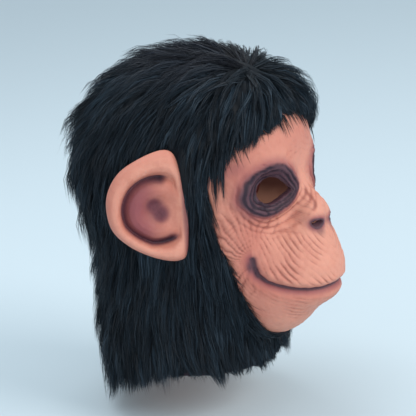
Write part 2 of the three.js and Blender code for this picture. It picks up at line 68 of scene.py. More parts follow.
class Signal:
    """A shader socket that takes part in Python arithmetic, with numbers or with other signals."""

    def __init__(self, tree: "ShaderTree", socket: bpy.types.NodeSocket) -> None:
        """Wraps an output socket of the tree.

        Args:
            tree: the tree that the socket belongs to.
            socket: the output to read.
        """
        self.tree = tree
        self.socket = socket

    def _maths(self, operation: str, *values: Any) -> "Signal":
        """Adds one maths node and returns its result.

        Args:
            operation: the node's operation.
            values: its inputs in order, as numbers or signals.

        Returns:
            The node's output.
        """
        return self.tree.node("ShaderNodeMath", {"operation": operation}, dict(enumerate(values)))

    def __add__(self, other: Any) -> "Signal":
        """Adds."""
        return self._maths("ADD", self, other)

    __radd__ = __add__

    def __sub__(self, other: Any) -> "Signal":
        """Subtracts."""
        return self._maths("SUBTRACT", self, other)

    def __rsub__(self, other: Any) -> "Signal":
        """Subtracts this from a number."""
        return self._maths("SUBTRACT", other, self)

    def __mul__(self, other: Any) -> "Signal":
        """Multiplies."""
        return self._maths("MULTIPLY", self, other)

    __rmul__ = __mul__

    def __pow__(self, other: Any) -> "Signal":
        """Raises to a power."""
        return self._maths("POWER", self, other)

    def __rpow__(self, other: Any) -> "Signal":
        """Raises a number to this power."""
        return self._maths("POWER", other, self)

    def within(self, low: float = 0.0, high: float = 1.0) -> "Signal":
        """Stretches the span from low to high over 0 to 1 and clips what is outside.

        Args:
            low: the value that becomes 0.
            high: the value that becomes 1.

        Returns:
            The stretched value, eased at both ends.
        """
        settings = {"interpolation_type": "SMOOTHSTEP"}
        return self.tree.node("ShaderNodeMapRange", settings, {0: self, 1: low, 2: high})


class ShaderTree:
    """A material's nodes, made from expressions."""

    def __init__(self, name: str) -> None:
        """Starts an empty material.

        Args:
            name: the material's name.
        """
        self.material = bpy.data.materials.new(name)
        self.material.use_nodes = True
        self.nodes = self.material.node_tree.nodes
        self.links = self.material.node_tree.links
        self.nodes.clear()

    def _feed(self, socket: bpy.types.NodeSocket, value: Any) -> None:
        """Links or sets one input.

        Args:
            socket: the input.
            value: a signal to link, or a number or a colour to set.
        """
        if isinstance(value, Signal):
            self.links.new(value.socket, socket)
        elif isinstance(value, tuple) and socket.type == "RGBA":
            socket.default_value = (*value, 1.0)
        else:
            socket.default_value = value

    def _add(self, kind: str, settings: dict[str, Any], inputs: dict[Any, Any]) -> bpy.types.Node:
        """Adds any node. Its settings are made before its inputs are fed.

        Args:
            kind: the node's type.
            settings: its own properties.
            inputs: values or signals by input name or place.

        Returns:
            The node.
        """
        made = self.nodes.new(kind)
        for name, value in settings.items():
            setattr(made, name, value)
        for name, value in inputs.items():
            self._feed(made.inputs[name], value)
        return made

    def node(self, kind: str, settings: dict[str, Any], inputs: dict[Any, Any], output: Any = 0) -> Signal:
        """Adds any node and reads one of its outputs, chosen by name or place."""
        return Signal(self, self._add(kind, settings, inputs).outputs[output])

    def attribute(self, name: str) -> Signal:
        """Reads a painted value of the mesh."""
        return self.node("ShaderNodeAttribute", {"attribute_name": name}, {}, "Fac")

    def place(self) -> Signal:
        """Reads the place on the object, in metres."""
        return self.node("ShaderNodeTexCoord", {}, {}, "Object")

    def scaled(self, vector: Signal, factors: Colour) -> Signal:
        """Scales a vector by its own factor along each axis."""
        settings = {"operation": "MULTIPLY"}
        return self.node("ShaderNodeVectorMath", settings, {0: vector, 1: factors})

    def noise(self, vector: Signal, scale: float, detail: float = 3.0, rough: float = 0.5) -> Signal:
        """Cloudy values about 0.5.

        Args:
            vector: where it is read.
            scale: how many clouds there are in one unit.
            detail: how many finer layers it has.
            rough: how strong the finer layers are.

        Returns:
            The noise.
        """
        inputs = {"Vector": vector, "Scale": scale, "Detail": detail, "Roughness": rough}
        return self.node("ShaderNodeTexNoise", {}, inputs)

    def blend(self, first: Any, second: Any, share: Any) -> Signal:
        """Mixes two colours.

        Args:
            first: the colour at share 0.
            second: the colour at share 1.
            share: a number or signal from 0 to 1.

        Returns:
            The mixed colour.
        """
        settings = {"data_type": "RGBA", "blend_type": "MIX", "clamp_factor": True}
        return self.node("ShaderNodeMix", settings, {0: share, 6: first, 7: second}, 2)

    def bump(self, height: Signal, distance: float, strength: float) -> Signal:
        """Turns a height into a normal.

        Args:
            height: the height.
            distance: how far one unit of height stands out, in metres.
            strength: how much of it shows.

        Returns:
            The normal.
        """
        inputs = {"Height": height, "Distance": distance, "Strength": strength}
        return self.node("ShaderNodeBump", {}, inputs)

    def finish(self, inputs: dict[str, Any]) -> bpy.types.Material:
        """Adds the surface and the output.

        Args:
            inputs: the surface shader's inputs by name.

        Returns:
            The finished material.
        """
        surface = self.node("ShaderNodeBsdfPrincipled", {}, inputs)
        self._add("ShaderNodeOutputMaterial", {}, {"Surface": surface})
        return self.material


# Finishes


@dataclass(frozen=True)
class SkinFinish:
    """Salmon latex with airbrushed shades and painted light and shade. Its paint is read from the mesh's own
    values.
    """

    name: str = "painted_latex"
    skin: Colour = (0.51, 0.188, 0.134)
    pale: Colour = (0.625, 0.275, 0.2)
    flushed: Colour = (0.43, 0.125, 0.094)
    crease: Colour = (0.24, 0.07, 0.055)
    fringe: Colour = (0.215, 0.052, 0.068)
    shade: Colour = (0.022, 0.009, 0.019)
    crest_highlight: Colour = (0.092, 0.04, 0.054)

    def material(self) -> bpy.types.Material:
        """Builds the material.

        Returns:
            The material, which reads crease, crest, fringe, shade and flush.
        """
        tree = ShaderTree(self.name)
        place = tree.place()
        cloud = tree.noise(place, 38.0, 4.0, 0.6)
        speckle = tree.noise(place, 420.0, 3.0, 0.6)
        broad = tree.noise(place, 14.0, 2.0)
        mottle = tree.noise(place, 170.0, 2.0, 0.7)
        # Random clouds and mottling, and a painted highlight on the fold crests, blend the skin towards
        # pale.
        light = cloud + tree.attribute("crest") * 0.35 + mottle * 0.5
        colour = tree.blend(self.skin, self.pale, light.within(0.6, 1.2))
        # The skin's redness, and a painted shade across the forehead, blend it towards flushed.
        flush = tree.attribute("flush") + broad.within(0.45, 0.75) * 0.25
        colour = tree.blend(colour, self.flushed, flush * 0.8)
        marks = speckle.within(0.55, 0.8) * 0.12 + mottle.within(0.5, 0.8) * 0.14
        # The creases are painted darker: the mask's airbrushing together with painted shade.
        crease = (tree.attribute("crease") + marks).within(0.05, 1.1)
        colour = tree.blend(colour, self.crease, crease * 0.75)
        fringe = tree.attribute("fringe") * (0.75 + cloud * 0.5)
        colour = tree.blend(colour, self.fringe, fringe.within(0.0, 1.05))
        shade = tree.attribute("shade") * (0.8 + speckle * 0.4)
        # Within the dark paint the fold crests are lighter: a painted highlight.
        high = tree.attribute("crest") - 0.35 + speckle * 0.4
        crest_highlight = tree.blend(self.shade, self.crest_highlight, high.within(0.0, 1.0))
        colour = tree.blend(colour, crest_highlight, shade.within(0.05, 0.95))
        height = speckle * 0.5 + tree.noise(tree.scaled(place, (1.0, 1.0, 0.35)), 260.0, 3.0)
        return tree.finish(
            {
                "Base Color": colour,
                "Roughness": 0.5 + cloud * 0.16,
                "Specular IOR Level": 0.32,
                "Subsurface Weight": 0.12,
                "Subsurface Radius": (1.0, 0.35, 0.2),
                "Subsurface Scale": 0.003,
                "Normal": tree.bump(height, 0.0005, 0.75),
            }
        )


@dataclass(frozen=True)
class LiningFinish:
    """The bare inside of the latex. It is lighter towards the hem and glows faintly: painted light from
    below.
    """

    name: str = "bare_latex"
    low: Colour = (0.44, 0.235, 0.165)
    high: Colour = (0.10, 0.042, 0.034)
    # The lining's faint glow is painted light.
    glow: float = 0.22

    def material(self) -> bpy.types.Material:
        """Builds the material.

        Returns:
            The material, lighter towards the hem as painted light.
        """
        tree = ShaderTree(self.name)
        place = tree.place()
        rise = tree.node("ShaderNodeSeparateXYZ", {}, {0: place}, "Z")
        cloud = tree.noise(place, 30.0, 3.0)
        # Painted light: lighter towards the open hem, darker towards the crown.
        share = (rise * 40.0 + 6.3 + cloud * 0.6).within(0.0, 1.0)
        colour = tree.blend(self.low, self.high, share)
        return tree.finish(
            {
                "Base Color": colour,
                "Roughness": 0.7,
                "Specular IOR Level": 0.2,
                "Emission Color": colour,
                "Emission Strength": self.glow,
            }
        )


@dataclass(frozen=True)
class FurFinish:
    """Near-black pile with a cool sheen and a painted rim light on top. Each strand has its own tone."""

    name: str = "long_pile"
    root: Colour = (0.0018, 0.0024, 0.0035)
    body: Colour = (0.0048, 0.0075, 0.0115)
    sheen: Colour = (0.043, 0.073, 0.105)
    rim_light_tint: Colour = (0.022, 0.018, 0.024)
    roughness: float = 0.46

    def material(self) -> bpy.types.Material:
        """Builds the material.

        Returns:
            The material, which reads tone, reach and warmth.
        """
        tree = ShaderTree(self.name)
        tone = tree.attribute("tone")
        colour = tree.blend(self.root, self.body, tree.attribute("reach").within(0.0, 0.5))
        # Lighter strands are blended towards the sheen colour: a painted highlight.
        colour = tree.blend(colour, self.sheen, (tone**3.0) * 0.8)
        # Blends towards a greyish brown: painted rim light on the top of the head, and a brown tint on loose
        # hairs.
        colour = tree.blend(colour, self.rim_light_tint, tree.attribute("brown_and_rim_light") * (0.35 + tone * 0.65))
        return tree.finish(
            {
                "Base Color": colour,
                "Roughness": self.roughness,
                "Specular IOR Level": 0.15,
                "Sheen Weight": 0.05,
                "Sheen Roughness": 0.4,
                "Sheen Tint": (0.6, 0.75, 0.85),
            }
        )


@dataclass(frozen=True)
class FloorFinish:
    """A plain pale floor."""

    name: str = "pale_floor"
    colour: Colour = (0.59, 0.685, 0.74)

    def material(self) -> bpy.types.Material:
        """Builds the material."""
        tree = ShaderTree(self.name)
        return tree.finish({"Base Color": self.colour, "Roughness": 0.8, "Specular IOR Level": 0.1})


# Numbers


def melt(first: Array, second: Array, size: float) -> Array:
    """Joins two distances with a soft fillet.

    Args:
        first: one distance.
        second: the other.
        size: how wide the fillet is.

    Returns:
        The joined distance.
    """
    share = np.clip(0.5 + 0.5 * (second - first) / max(size, 1e-6), 0, 1)
    return second + (first - second) * share - size * share * (1 - share)


def ease(value: Array, low: float, high: float) -> Array:
    """Goes smoothly from 0 at low to 1 at high."""
    share = np.clip((value - low) / (high - low), 0, 1)
    return share * share * (3 - 2 * share)


def hill(value: Array, width: float) -> Array:
    """A bell: 1 at zero, falling off over the width on both sides."""
    return np.exp(-((value / width) ** 2))


def unit(vectors: Array) -> Array:
    """Vectors of length one in the same directions."""
    return vectors / np.maximum(np.linalg.norm(vectors, axis=-1, keepdims=True), 1e-9)


def dot(first: Array, second: Array) -> Array:
    """The dot products of rows of vectors."""
    return np.sum(first * second, axis=-1)


def mirror(points: Array) -> Array:
    """Factors for each axis that bring places over to the +X side, or vectors back from it."""
    return np.where(points[..., :1] < 0, (-1, 1, 1), (1, 1, 1))


class Noise:
    """Smooth random values over space from -1 to 1, the same on each run."""

    def __init__(self, seed: int) -> None:
        """Fills the table of corner values.

        Args:
            seed: which table to make.
        """
        self.table = np.random.default_rng(seed).uniform(-1, 1, 65536)

    def __call__(self, points: Array, size: Any) -> Array:
        """Reads the noise.

        Args:
            points: places, in rows of three.
            size: how large one cloud is, as one number or one for each axis.

        Returns:
            A value for each place.
        """
        scaled = points / np.asarray(size, float)
        cell = np.floor(scaled).astype(np.int64)
        part = scaled - cell
        part = part * part * (3 - 2 * part)
        total = np.zeros(points.shape[:-1])
        for corner in range(8):
            step = np.array([corner & 1, corner >> 1 & 1, corner >> 2 & 1])
            spot = cell + step
            key = spot[..., 0] * 73856093 ^ spot[..., 1] * 19349663 ^ spot[..., 2] * 83492791
            weight = np.prod(np.where(step, part, 1 - part), axis=-1)
            total += weight * self.table[key & 65535]
        return total


# Form


@dataclass(frozen=True)
class Mass:
    """One rounded mass of the head, placed and sized in shares of half the head."""

    place: tuple[float, float, float]
    radii: tuple[float, float, float]
    blend: float

    def distance(self, points: Array) -> Array:
        """Distances from its surface."""
        centre = np.array([self.place[0], self.place[1], -self.place[2]]) * HALF
        return ellipsoid(points - centre, np.array(self.radii) * HALF)


def ellipsoid(offsets: Array, radii: Array) -> Array:
    """Distances from an ellipsoid about the origin.

    Args:
        offsets: places measured from its middle.
        radii: its radii.

    Returns:
        The distances, below zero inside.
    """
    near = np.linalg.norm(offsets / radii, axis=-1)
    slope = np.linalg.norm(offsets / radii**2, axis=-1)
    return near * (near - 1) / np.maximum(slope, 1e-9)


MASSES = (
    Mass((0, 0.13, 0.975), (1, 1, 1), 0),
    Mass((0, -0.4, 0.82), (0.83, 0.61, 0.72), 0.3),
    Mass((0, 0.2, 2.9), (0.91, 0.8, 2.3), 0.4),
    Mass((0.51, -0.47, 1.48), (0.38, 0.33, 0.6), 0.25),
    Mass((0.29, -0.58, 2.05), (0.4, 0.45, 0.5), 0.25),
    Mass((0, -0.84, 1.98), (0.54, 0.51, 0.46), 0.26),
    Mass((0, -0.95, 2.18), (0.38, 0.34, 0.18), 0.14),
    Mass((0, -0.96, 1.68), (0.33, 0.29, 0.26), 0.16),
    Mass((0, -0.69, 2.4), (0.42, 0.33, 0.32), 0.22),
    Mass((0.1, -1.1, 1.46), (0.12, 0.11, 0.09), 0.12),
)
NOSE_TOP = np.array([0, -0.89, -0.98]) * HALF
NOSE_TIP = np.array([0, -1.1, -1.34]) * HALF


@dataclass(frozen=True)
class Oval:
    """An oval opening on the +X side, with its own directions: along it, across it and outwards."""

    middle: tuple[float, float, float]
    outward: tuple[float, float, float]
    tilt: float
    wide: float
    high: float

    def directions(self) -> tuple[Array, Array, Array]:
        """The opening's own directions.

        Returns:
            Along it, across it and outwards, as unit vectors.
        """
        out = unit(np.array(self.outward))
        level = unit(np.cross(out, (0, 0, 1)))
        turn = math.radians(self.tilt)
        along = level * math.cos(turn) + np.cross(out, level) * math.sin(turn)
        return along, np.cross(along, out), out

    def local(self, points: Array) -> Array:
        """Places in the opening's own directions, measured from its middle."""
        offsets = points * mirror(points) - np.array(self.middle) * HALF * (1, 1, -1)
        return np.stack([dot(offsets, way) for way in self.directions()], axis=-1)

    def reach(self, points: Array) -> Array:
        """How far out each place is: 0 in the middle and 1 on the opening's edge."""
        own = self.local(points)
        return np.hypot(own[..., 0] * 2 / self.wide, own[..., 1] * 2 / self.high)


@dataclass(frozen=True)
class Outline(Oval):
    """An opening whose edge is given as radii at angles, from its along direction."""

    edge: tuple[tuple[float, ...], tuple[float, ...]] = ((0.0,), (1.0,))

    def radius(self, points: Array) -> Array:
        """The edge's radius in the direction of each place.

        Args:
            points: places near the opening.

        Returns:
            The radii, in millimetres.
        """
        own = self.local(points)
        angle = np.degrees(np.arctan2(own[..., 1], own[..., 0]))
        return np.interp(angle, *self.edge, period=360)

    def reach(self, points: Array) -> Array:
        """How far out each place is: 0 in the middle and 1 on the opening's edge."""
        own = self.local(points)
        return np.hypot(own[..., 0], own[..., 1]) / self.radius(points)


EYE = Oval((0.44, -0.84, 1.1), (0.5, -0.86, 0.05), 20, 33, 28)
EYE_HOLE = Outline(
    EYE.middle,
    EYE.outward,
    0,
    33,
    28,
    (
        (-165, -126, -100, -77, -54, -34, -20, -9, 1, 15, 33, 61, 97, 134, 171),
        (14.4, 14.1, 14.6, 14.9, 15.8, 17.8, 21.0, 23.6, 20.7, 17.5, 14.9, 12.4, 10.6, 10.2, 11.9),
    ),
)
EYE_RING = Outline(
    EYE.middle,
    EYE.outward,
    0,
    64,
    52,
    (
        (-176, -161, -142, -122, -92, -59, -34, -16, 0, 12, 30, 52, 81, 110, 133, 157),
        (32.1, 31.1, 30.0, 26.6, 24.9, 25.2, 28.8, 30.7, 33.3, 32.6, 30.8, 28.2, 26.8, 27.2, 27.7, 29.7),
    ),
)
NOSTRIL = Oval((0.15, -1.2, 1.49), (0.3, -0.8, -0.5), 0, 13, 7)


def sideways_on(points: Array) -> Array:
    """How far forwards each place is, as seen from 31 degrees before the near side's profile."""
    return -0.515 * np.abs(points[..., 0]) - 0.857 * points[..., 1]


@dataclass(frozen=True)
class FaceLine:
    """A line over the face, as points forwards and down from its start."""

    forwards: tuple[float, ...]
    down: tuple[float, ...]

    def nearest(self, points: Array) -> tuple[Array, Array]:
        """Measures places against the line.

        Args:
            points: places on the face.

        Returns:
            Their distances to the line, and how far along it the nearest spot is.
        """
        spots = np.stack([sideways_on(points), -points[..., 2]], axis=-1)
        line = np.stack([self.forwards, self.down], axis=-1)
        best = np.full(spots.shape[:-1], np.inf)
        along = np.zeros(spots.shape[:-1])
        passed = 0.0
        for start, stop in zip(line[:-1], line[1:]):
            way = stop - start
            long = np.linalg.norm(way)
            part = np.clip((spots - start) @ way / long**2, 0, 1)
            far = np.linalg.norm(spots - start - part[..., None] * way, axis=-1)
            along = np.where(far < best, passed + part * long, along)
            best = np.minimum(far, best)
            passed += long
        return best, along

    def apart(self, points: Array) -> Array:
        """Measures which side of the line places are on.

        Args:
            points: places on the face.

        Returns:
            How far off the line they are: above zero over it, below zero under or behind it.
        """
        forwards = sideways_on(points)
        line = np.interp(forwards, self.forwards, self.down)
        over = (-points[..., 2] < line) & (forwards > self.forwards[0])
        return self.nearest(points)[0] * np.where(over, 1, -1)

    @staticmethod
    def window(points: Array) -> Array:
        """1 on the front of the head, fading to 0 behind it."""
        return ease(-points[..., 1], 0.5 * HALF[1], 0.72 * HALF[1])


MOUTH = FaceLine(
    (39.5, 40.3, 43.9, 53.2, 64.6, 79.2, 92.0, 106.0, 122.0, 150.0),
    (177.0, 184.0, 193.7, 201.1, 205.7, 210.3, 212.8, 213.8, 213.3, 212.8),
)
NOSE_FOLD = FaceLine((95.0, 98.5, 103.5, 105.5, 102.5), (113.0, 120.5, 126.0, 131.5, 137.5))


class HeadForm:
    """The smooth form of the latex head as a distance: below zero inside, the same on both sides."""

    def distance(self, points: Array, features: bool = True) -> Array:
        """Measures from the outer face.

        Args:
            points: places, in rows of three.
            features: False leaves off the folds round the eyes and the mouth's crease.

        Returns:
            The distances.
        """
        mirrored = points.copy()
        mirrored[..., 0] = np.abs(mirrored[..., 0])
        total = MASSES[0].distance(mirrored)
        for mass in MASSES[1:]:
            total = melt(total, mass.distance(mirrored), mass.blend * HALF[2])
        total = melt(total, self._nose(mirrored), 16.0)
        own = EYE.local(mirrored)
        reach = EYE.wide / 2
        lump = ellipsoid(own + (0, 0, 0.42 * reach), np.array([2, 1.64, 0.85]) * reach)
        total = melt(total, lump, reach)
        socket = ellipsoid(own - (0, 0, 0.79 * reach), np.array([1.33, 1.1, 1.03]) * reach)
        total = -melt(-total, socket, 0.73 * reach)
        if not features:
            return total
        total = melt(total, self._fold(own, 1.7, 2.0, 2.5), 8.0)
        total = melt(total, self._fold(own, 1.21, -2.0, 2.4), 5.0)
        near = np.abs(mirrored[..., 2] + 200) < 60
        crease = np.zeros(total.shape)
        spots = mirrored[near]
        deep = MOUTH.window(spots) * (0.35 + 0.65 * ease(MOUTH.nearest(spots)[1], 0, 24))
        crease[near] = deep * hill(MOUTH.apart(spots), 6.0)
        bridge = hill(mirrored[..., 0], 15) * hill(mirrored[..., 2] + 101, 22)
        bridge = bridge * ease(-mirrored[..., 1], 70, 95)
        return total + 3.6 * crease + 5.5 * bridge

    def _nose(self, points: Array) -> Array:
        """Measures from the bridge of the nose.

        Args:
            points: places, in rows of three.

        Returns:
            The distances.
        """
        line = NOSE_TIP - NOSE_TOP
        share = np.clip((points - NOSE_TOP) @ line / (line @ line), 0, 1)
        return np.linalg.norm(points - NOSE_TOP - share[..., None] * line, axis=-1) - 11.5

    def _fold(self, own: Array, reach: float, stand: float, thick: float) -> Array:
        """Distances from a rounded ring of skin round the eye.

        Args:
            own: places in the eye's own directions.
            reach: the ring's size as a share of the eye hole's.
            stand: how far it stands out of the eye's plane.
            thick: the ring's own radius.

        Returns:
            The distances.
        """
        wide, high = EYE.wide / 2 * reach, EYE.high / 2 * reach
        around = np.hypot(own[..., 0] / wide, own[..., 1] / high)
        return np.hypot((around - 1) * (wide + high) / 2, own[..., 2] - stand) - thick

    def normal(self, points: Array, features: bool = False) -> Array:
        """Works out the way that the surface faces.

        Args:
            points: places near the surface.
            features: as in distance.

        Returns:
            Unit vectors outwards.
        """
        total = np.zeros_like(points)
        for way in np.array([[1, -1, -1], [-1, -1, 1], [-1, 1, -1], [1, 1, 1]], float):
            total += way * self.distance(points + way * 0.4, features)[..., None]
        return unit(total)

    def trace(
        self, around: Array, turn: Array, reach: Array, steps: int, offset: Any, features: bool
    ) -> Array:
        """Follows rays inwards from a reach to the surface.

        Args:
            around: angles round the head, in degrees.
            turn: turns down the head.
            reach: where each ray starts, out from its own start on the axis.
            steps: how many steps to take.
            offset: how far off the latex the surface is.
            features: as in distance.

        Returns:
            The reach of the surface along each ray.
        """
        start, way = self.rays(around, turn)
        for _ in range(steps):
            reach = reach - 0.75 * (self.distance(start + way * reach[..., None], features) - offset)
        return reach

    def rays(self, around: Array, turn: Array) -> tuple[Array, Array]:
        """Lays rays out of the head's axis.

        Args:
            around: angles round the head, in degrees.
            turn: turns down the head.

        Returns:
            Where each ray starts, and which way it goes.
        """
        tilt = np.clip(turn, 0, 1) * math.pi / 2
        angle = np.radians(around)
        start = np.zeros((*turn.shape, 3))
        start[..., 2] = -SKULL_MIDDLE - np.maximum(turn - 1, 0) * HALF[2]
        spread = np.sin(tilt)
        return start, np.stack([np.sin(angle) * spread, -np.cos(angle) * spread, np.cos(tilt)], axis=-1)

    def grid(self, around: Array, turns: Array, offset: Any = 0.0, features: bool = True) -> Array:
        """Points of the surface, or of one offset from it, over rows of turns and columns of angles.

        Args:
            around: the columns' angles, in degrees.
            turns: the rows' turns.
            offset: how far off the latex, as one number or a grid of them.
            features: as in distance.

        Returns:
            Rows of columns of points.
        """
        coarse_rows = np.unique(np.r_[np.arange(0, len(turns), 5), len(turns) - 1])
        coarse_columns = np.unique(np.r_[np.arange(0, len(around), 5), len(around) - 1])
        angle, turn = np.meshgrid(around[coarse_columns], turns[coarse_rows])
        reach = self.trace(angle, turn, np.full(angle.shape, FAR_OUT), 42, 0.0, features)
        across = np.array([np.interp(np.arange(len(around)), coarse_columns, row) for row in reach])
        down = np.array([np.interp(np.arange(len(turns)), coarse_rows, column) for column in across.T]).T
        angle, turn = np.meshgrid(around, turns)
        reach = self.trace(angle, turn, down, 12, offset, features)
        start, way = self.rays(angle, turn)
        return start + way * reach[..., None]

    @staticmethod
    def whereabouts(points: Array) -> tuple[Array, Array]:
        """The angle round the head and the turn of each place.

        Args:
            points: places, in rows of three.

        Returns:
            The angles in degrees, and the turns.
        """
        around = np.degrees(np.arctan2(points[..., 0], -points[..., 1]))
        above = points[..., 2] + SKULL_MIDDLE
        fan = np.arctan2(np.hypot(points[..., 0], points[..., 1]), above) / (math.pi / 2)
        return around, np.where(above > 0, fan, 1 - above / HALF[2])


# Meshes


@dataclass
class Surface:
    """Points, faces and painted values of one mesh."""

    points: Array
    faces: list[Array]
    paint: dict[str, Array]

    def build(self, name: str, material: bpy.types.Material, slot: str) -> bpy.types.Object:
        """Makes the mesh and lets it ride on the mask.

        Args:
            name: the piece's name.
            material: its finish.
            slot: the slot of the record that the finish stands for. Not used.

        Returns:
            The object.
        """
        mesh = bpy.data.meshes.new(name)
        used = [faces for faces in self.faces if len(faces)]
        loops = np.concatenate([faces.reshape(-1) for faces in used]).astype(np.int32)
        sides = np.concatenate([np.full(len(faces), faces.shape[1]) for faces in used])
        starts = np.r_[0, np.cumsum(sides)[:-1]].astype(np.int32)
        mesh.vertices.add(len(self.points))
        mesh.vertices.foreach_set("co", (self.points * MM).astype(np.float32).reshape(-1))
        mesh.loops.add(len(loops))
        mesh.loops.foreach_set("vertex_index", loops)
        mesh.polygons.add(len(starts))
        mesh.polygons.foreach_set("loop_start", starts)
        mesh.polygons.foreach_set("use_smooth", np.full(len(starts), True))
        for key, values in self.paint.items():
            layer = mesh.attributes.new(key, "FLOAT", "POINT")
            layer.data.foreach_set("value", values.astype(np.float32))
        mesh.update(calc_edges=True)
        mesh.validate()
        mesh.materials.append(material)
        made = bpy.data.objects.new(name, mesh)
        bpy.context.scene.collection.objects.link(made)
        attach(made, "root")
        triangles = sum(len(faces) * (faces.shape[1] - 2) for faces in used)
        log.info("%s: %d triangles", name, triangles)
        return made


class Sheet:
    """A grid of points wrapped round the head, with holes and with edges that turn inwards."""

    def __init__(self, points: Array) -> None:
        """Starts with every face of the grid. The last column joins the first.

        Args:
            points: rows of columns, facing out when columns run round anticlockwise from above.
        """
        rows, columns = points.shape[:2]
        self.points = points.reshape(-1, 3)
        row, column = np.meshgrid(np.arange(rows - 1), np.arange(columns), indexing="ij")
        near, far = column.reshape(-1), (column.reshape(-1) + 1) % columns
        above, below = row.reshape(-1) * columns, (row.reshape(-1) + 1) * columns
        self.quads = np.stack([above + near, below + near, below + far, above + far], axis=-1)

    def keep(self, kept: Array) -> None:
        """Keeps only the faces that are marked True."""
        self.quads = self.quads[kept]

    def middles(self) -> Array:
        """The middle of each face."""
        return self.points[self.quads].mean(axis=1)

    def cut(self, oval: Oval, size: float = 1.0) -> Array:
        """Cuts the oval out on both sides and pulls the cut's edge onto it.

        Args:
            oval: the opening.
            size: how large the cut is, as a share of the opening.

        Returns:
            The points on the cut's edge, by their numbers.
        """
        middles = self.middles()
        inside = (oval.reach(middles) < size) & (np.abs(oval.local(middles)[:, 2]) < oval.wide)
        edge = np.intersect1d(self.quads[inside], self.quads[~inside])
        self.quads = self.quads[~inside]
        reach = oval.reach(self.points[edge])
        own = oval.local(self.points[edge])
        along, across, _ = oval.directions()
        pull = (size / np.maximum(reach, 0.2) - 1)[:, None] * (own[:, :1] * along + own[:, 1:2] * across)
        self.points[edge] += pull * mirror(self.points[edge])
        return edge

    def border(self) -> Array:
        """Finds the open edges.

        Returns:
            Each edge as two point numbers, in the order of its face.
        """
        edges = np.concatenate([self.quads[:, [k, (k + 1) % 4]] for k in range(4)])
        count = len(self.points)
        key = edges[:, 0] * count + edges[:, 1]
        back = edges[:, 1] * count + edges[:, 0]
        return edges[~np.isin(key, back)]

    def rim(self, edge: Array, inward: Array, steps: int) -> Array:
        """Turns part of the border inwards as a narrow wall.

        Args:
            edge: the numbers of the points on that part.
            inward: how far each of those points goes, as vectors.
            steps: how many rows of faces the wall has.

        Returns:
            For each added point, the number of the point that it came from.
        """
        border = self.border()
        border = border[np.isin(border, edge).all(axis=1)]
        place = np.full(len(self.points), -1)
        place[edge] = np.arange(len(edge))
        above = edge
        sources = []
        for step in range(1, steps + 1):
            below = np.arange(len(edge)) + len(self.points)
            self.points = np.concatenate([self.points, self.points[edge] + inward * (step / steps)])
            a, b = place[border[:, 0]], place[border[:, 1]]
            wall = np.stack([above[b], above[a], below[a], below[b]], axis=-1)
            self.quads = np.concatenate([self.quads, wall])
            above = below
            sources.append(edge)
        return np.concatenate(sources)

    def surface(self, paint: dict[str, Array]) -> Surface:
        """Leaves out the points that no face uses.

        Args:
            paint: a value for each point, by name.

        Returns:
            The mesh's parts.
        """
        used, renumbered = np.unique(self.quads, return_inverse=True)
        quads = renumbered.reshape(self.quads.shape)
        return Surface(self.points[used], [quads], {key: values[used] for key, values in paint.items()})


# Latex head


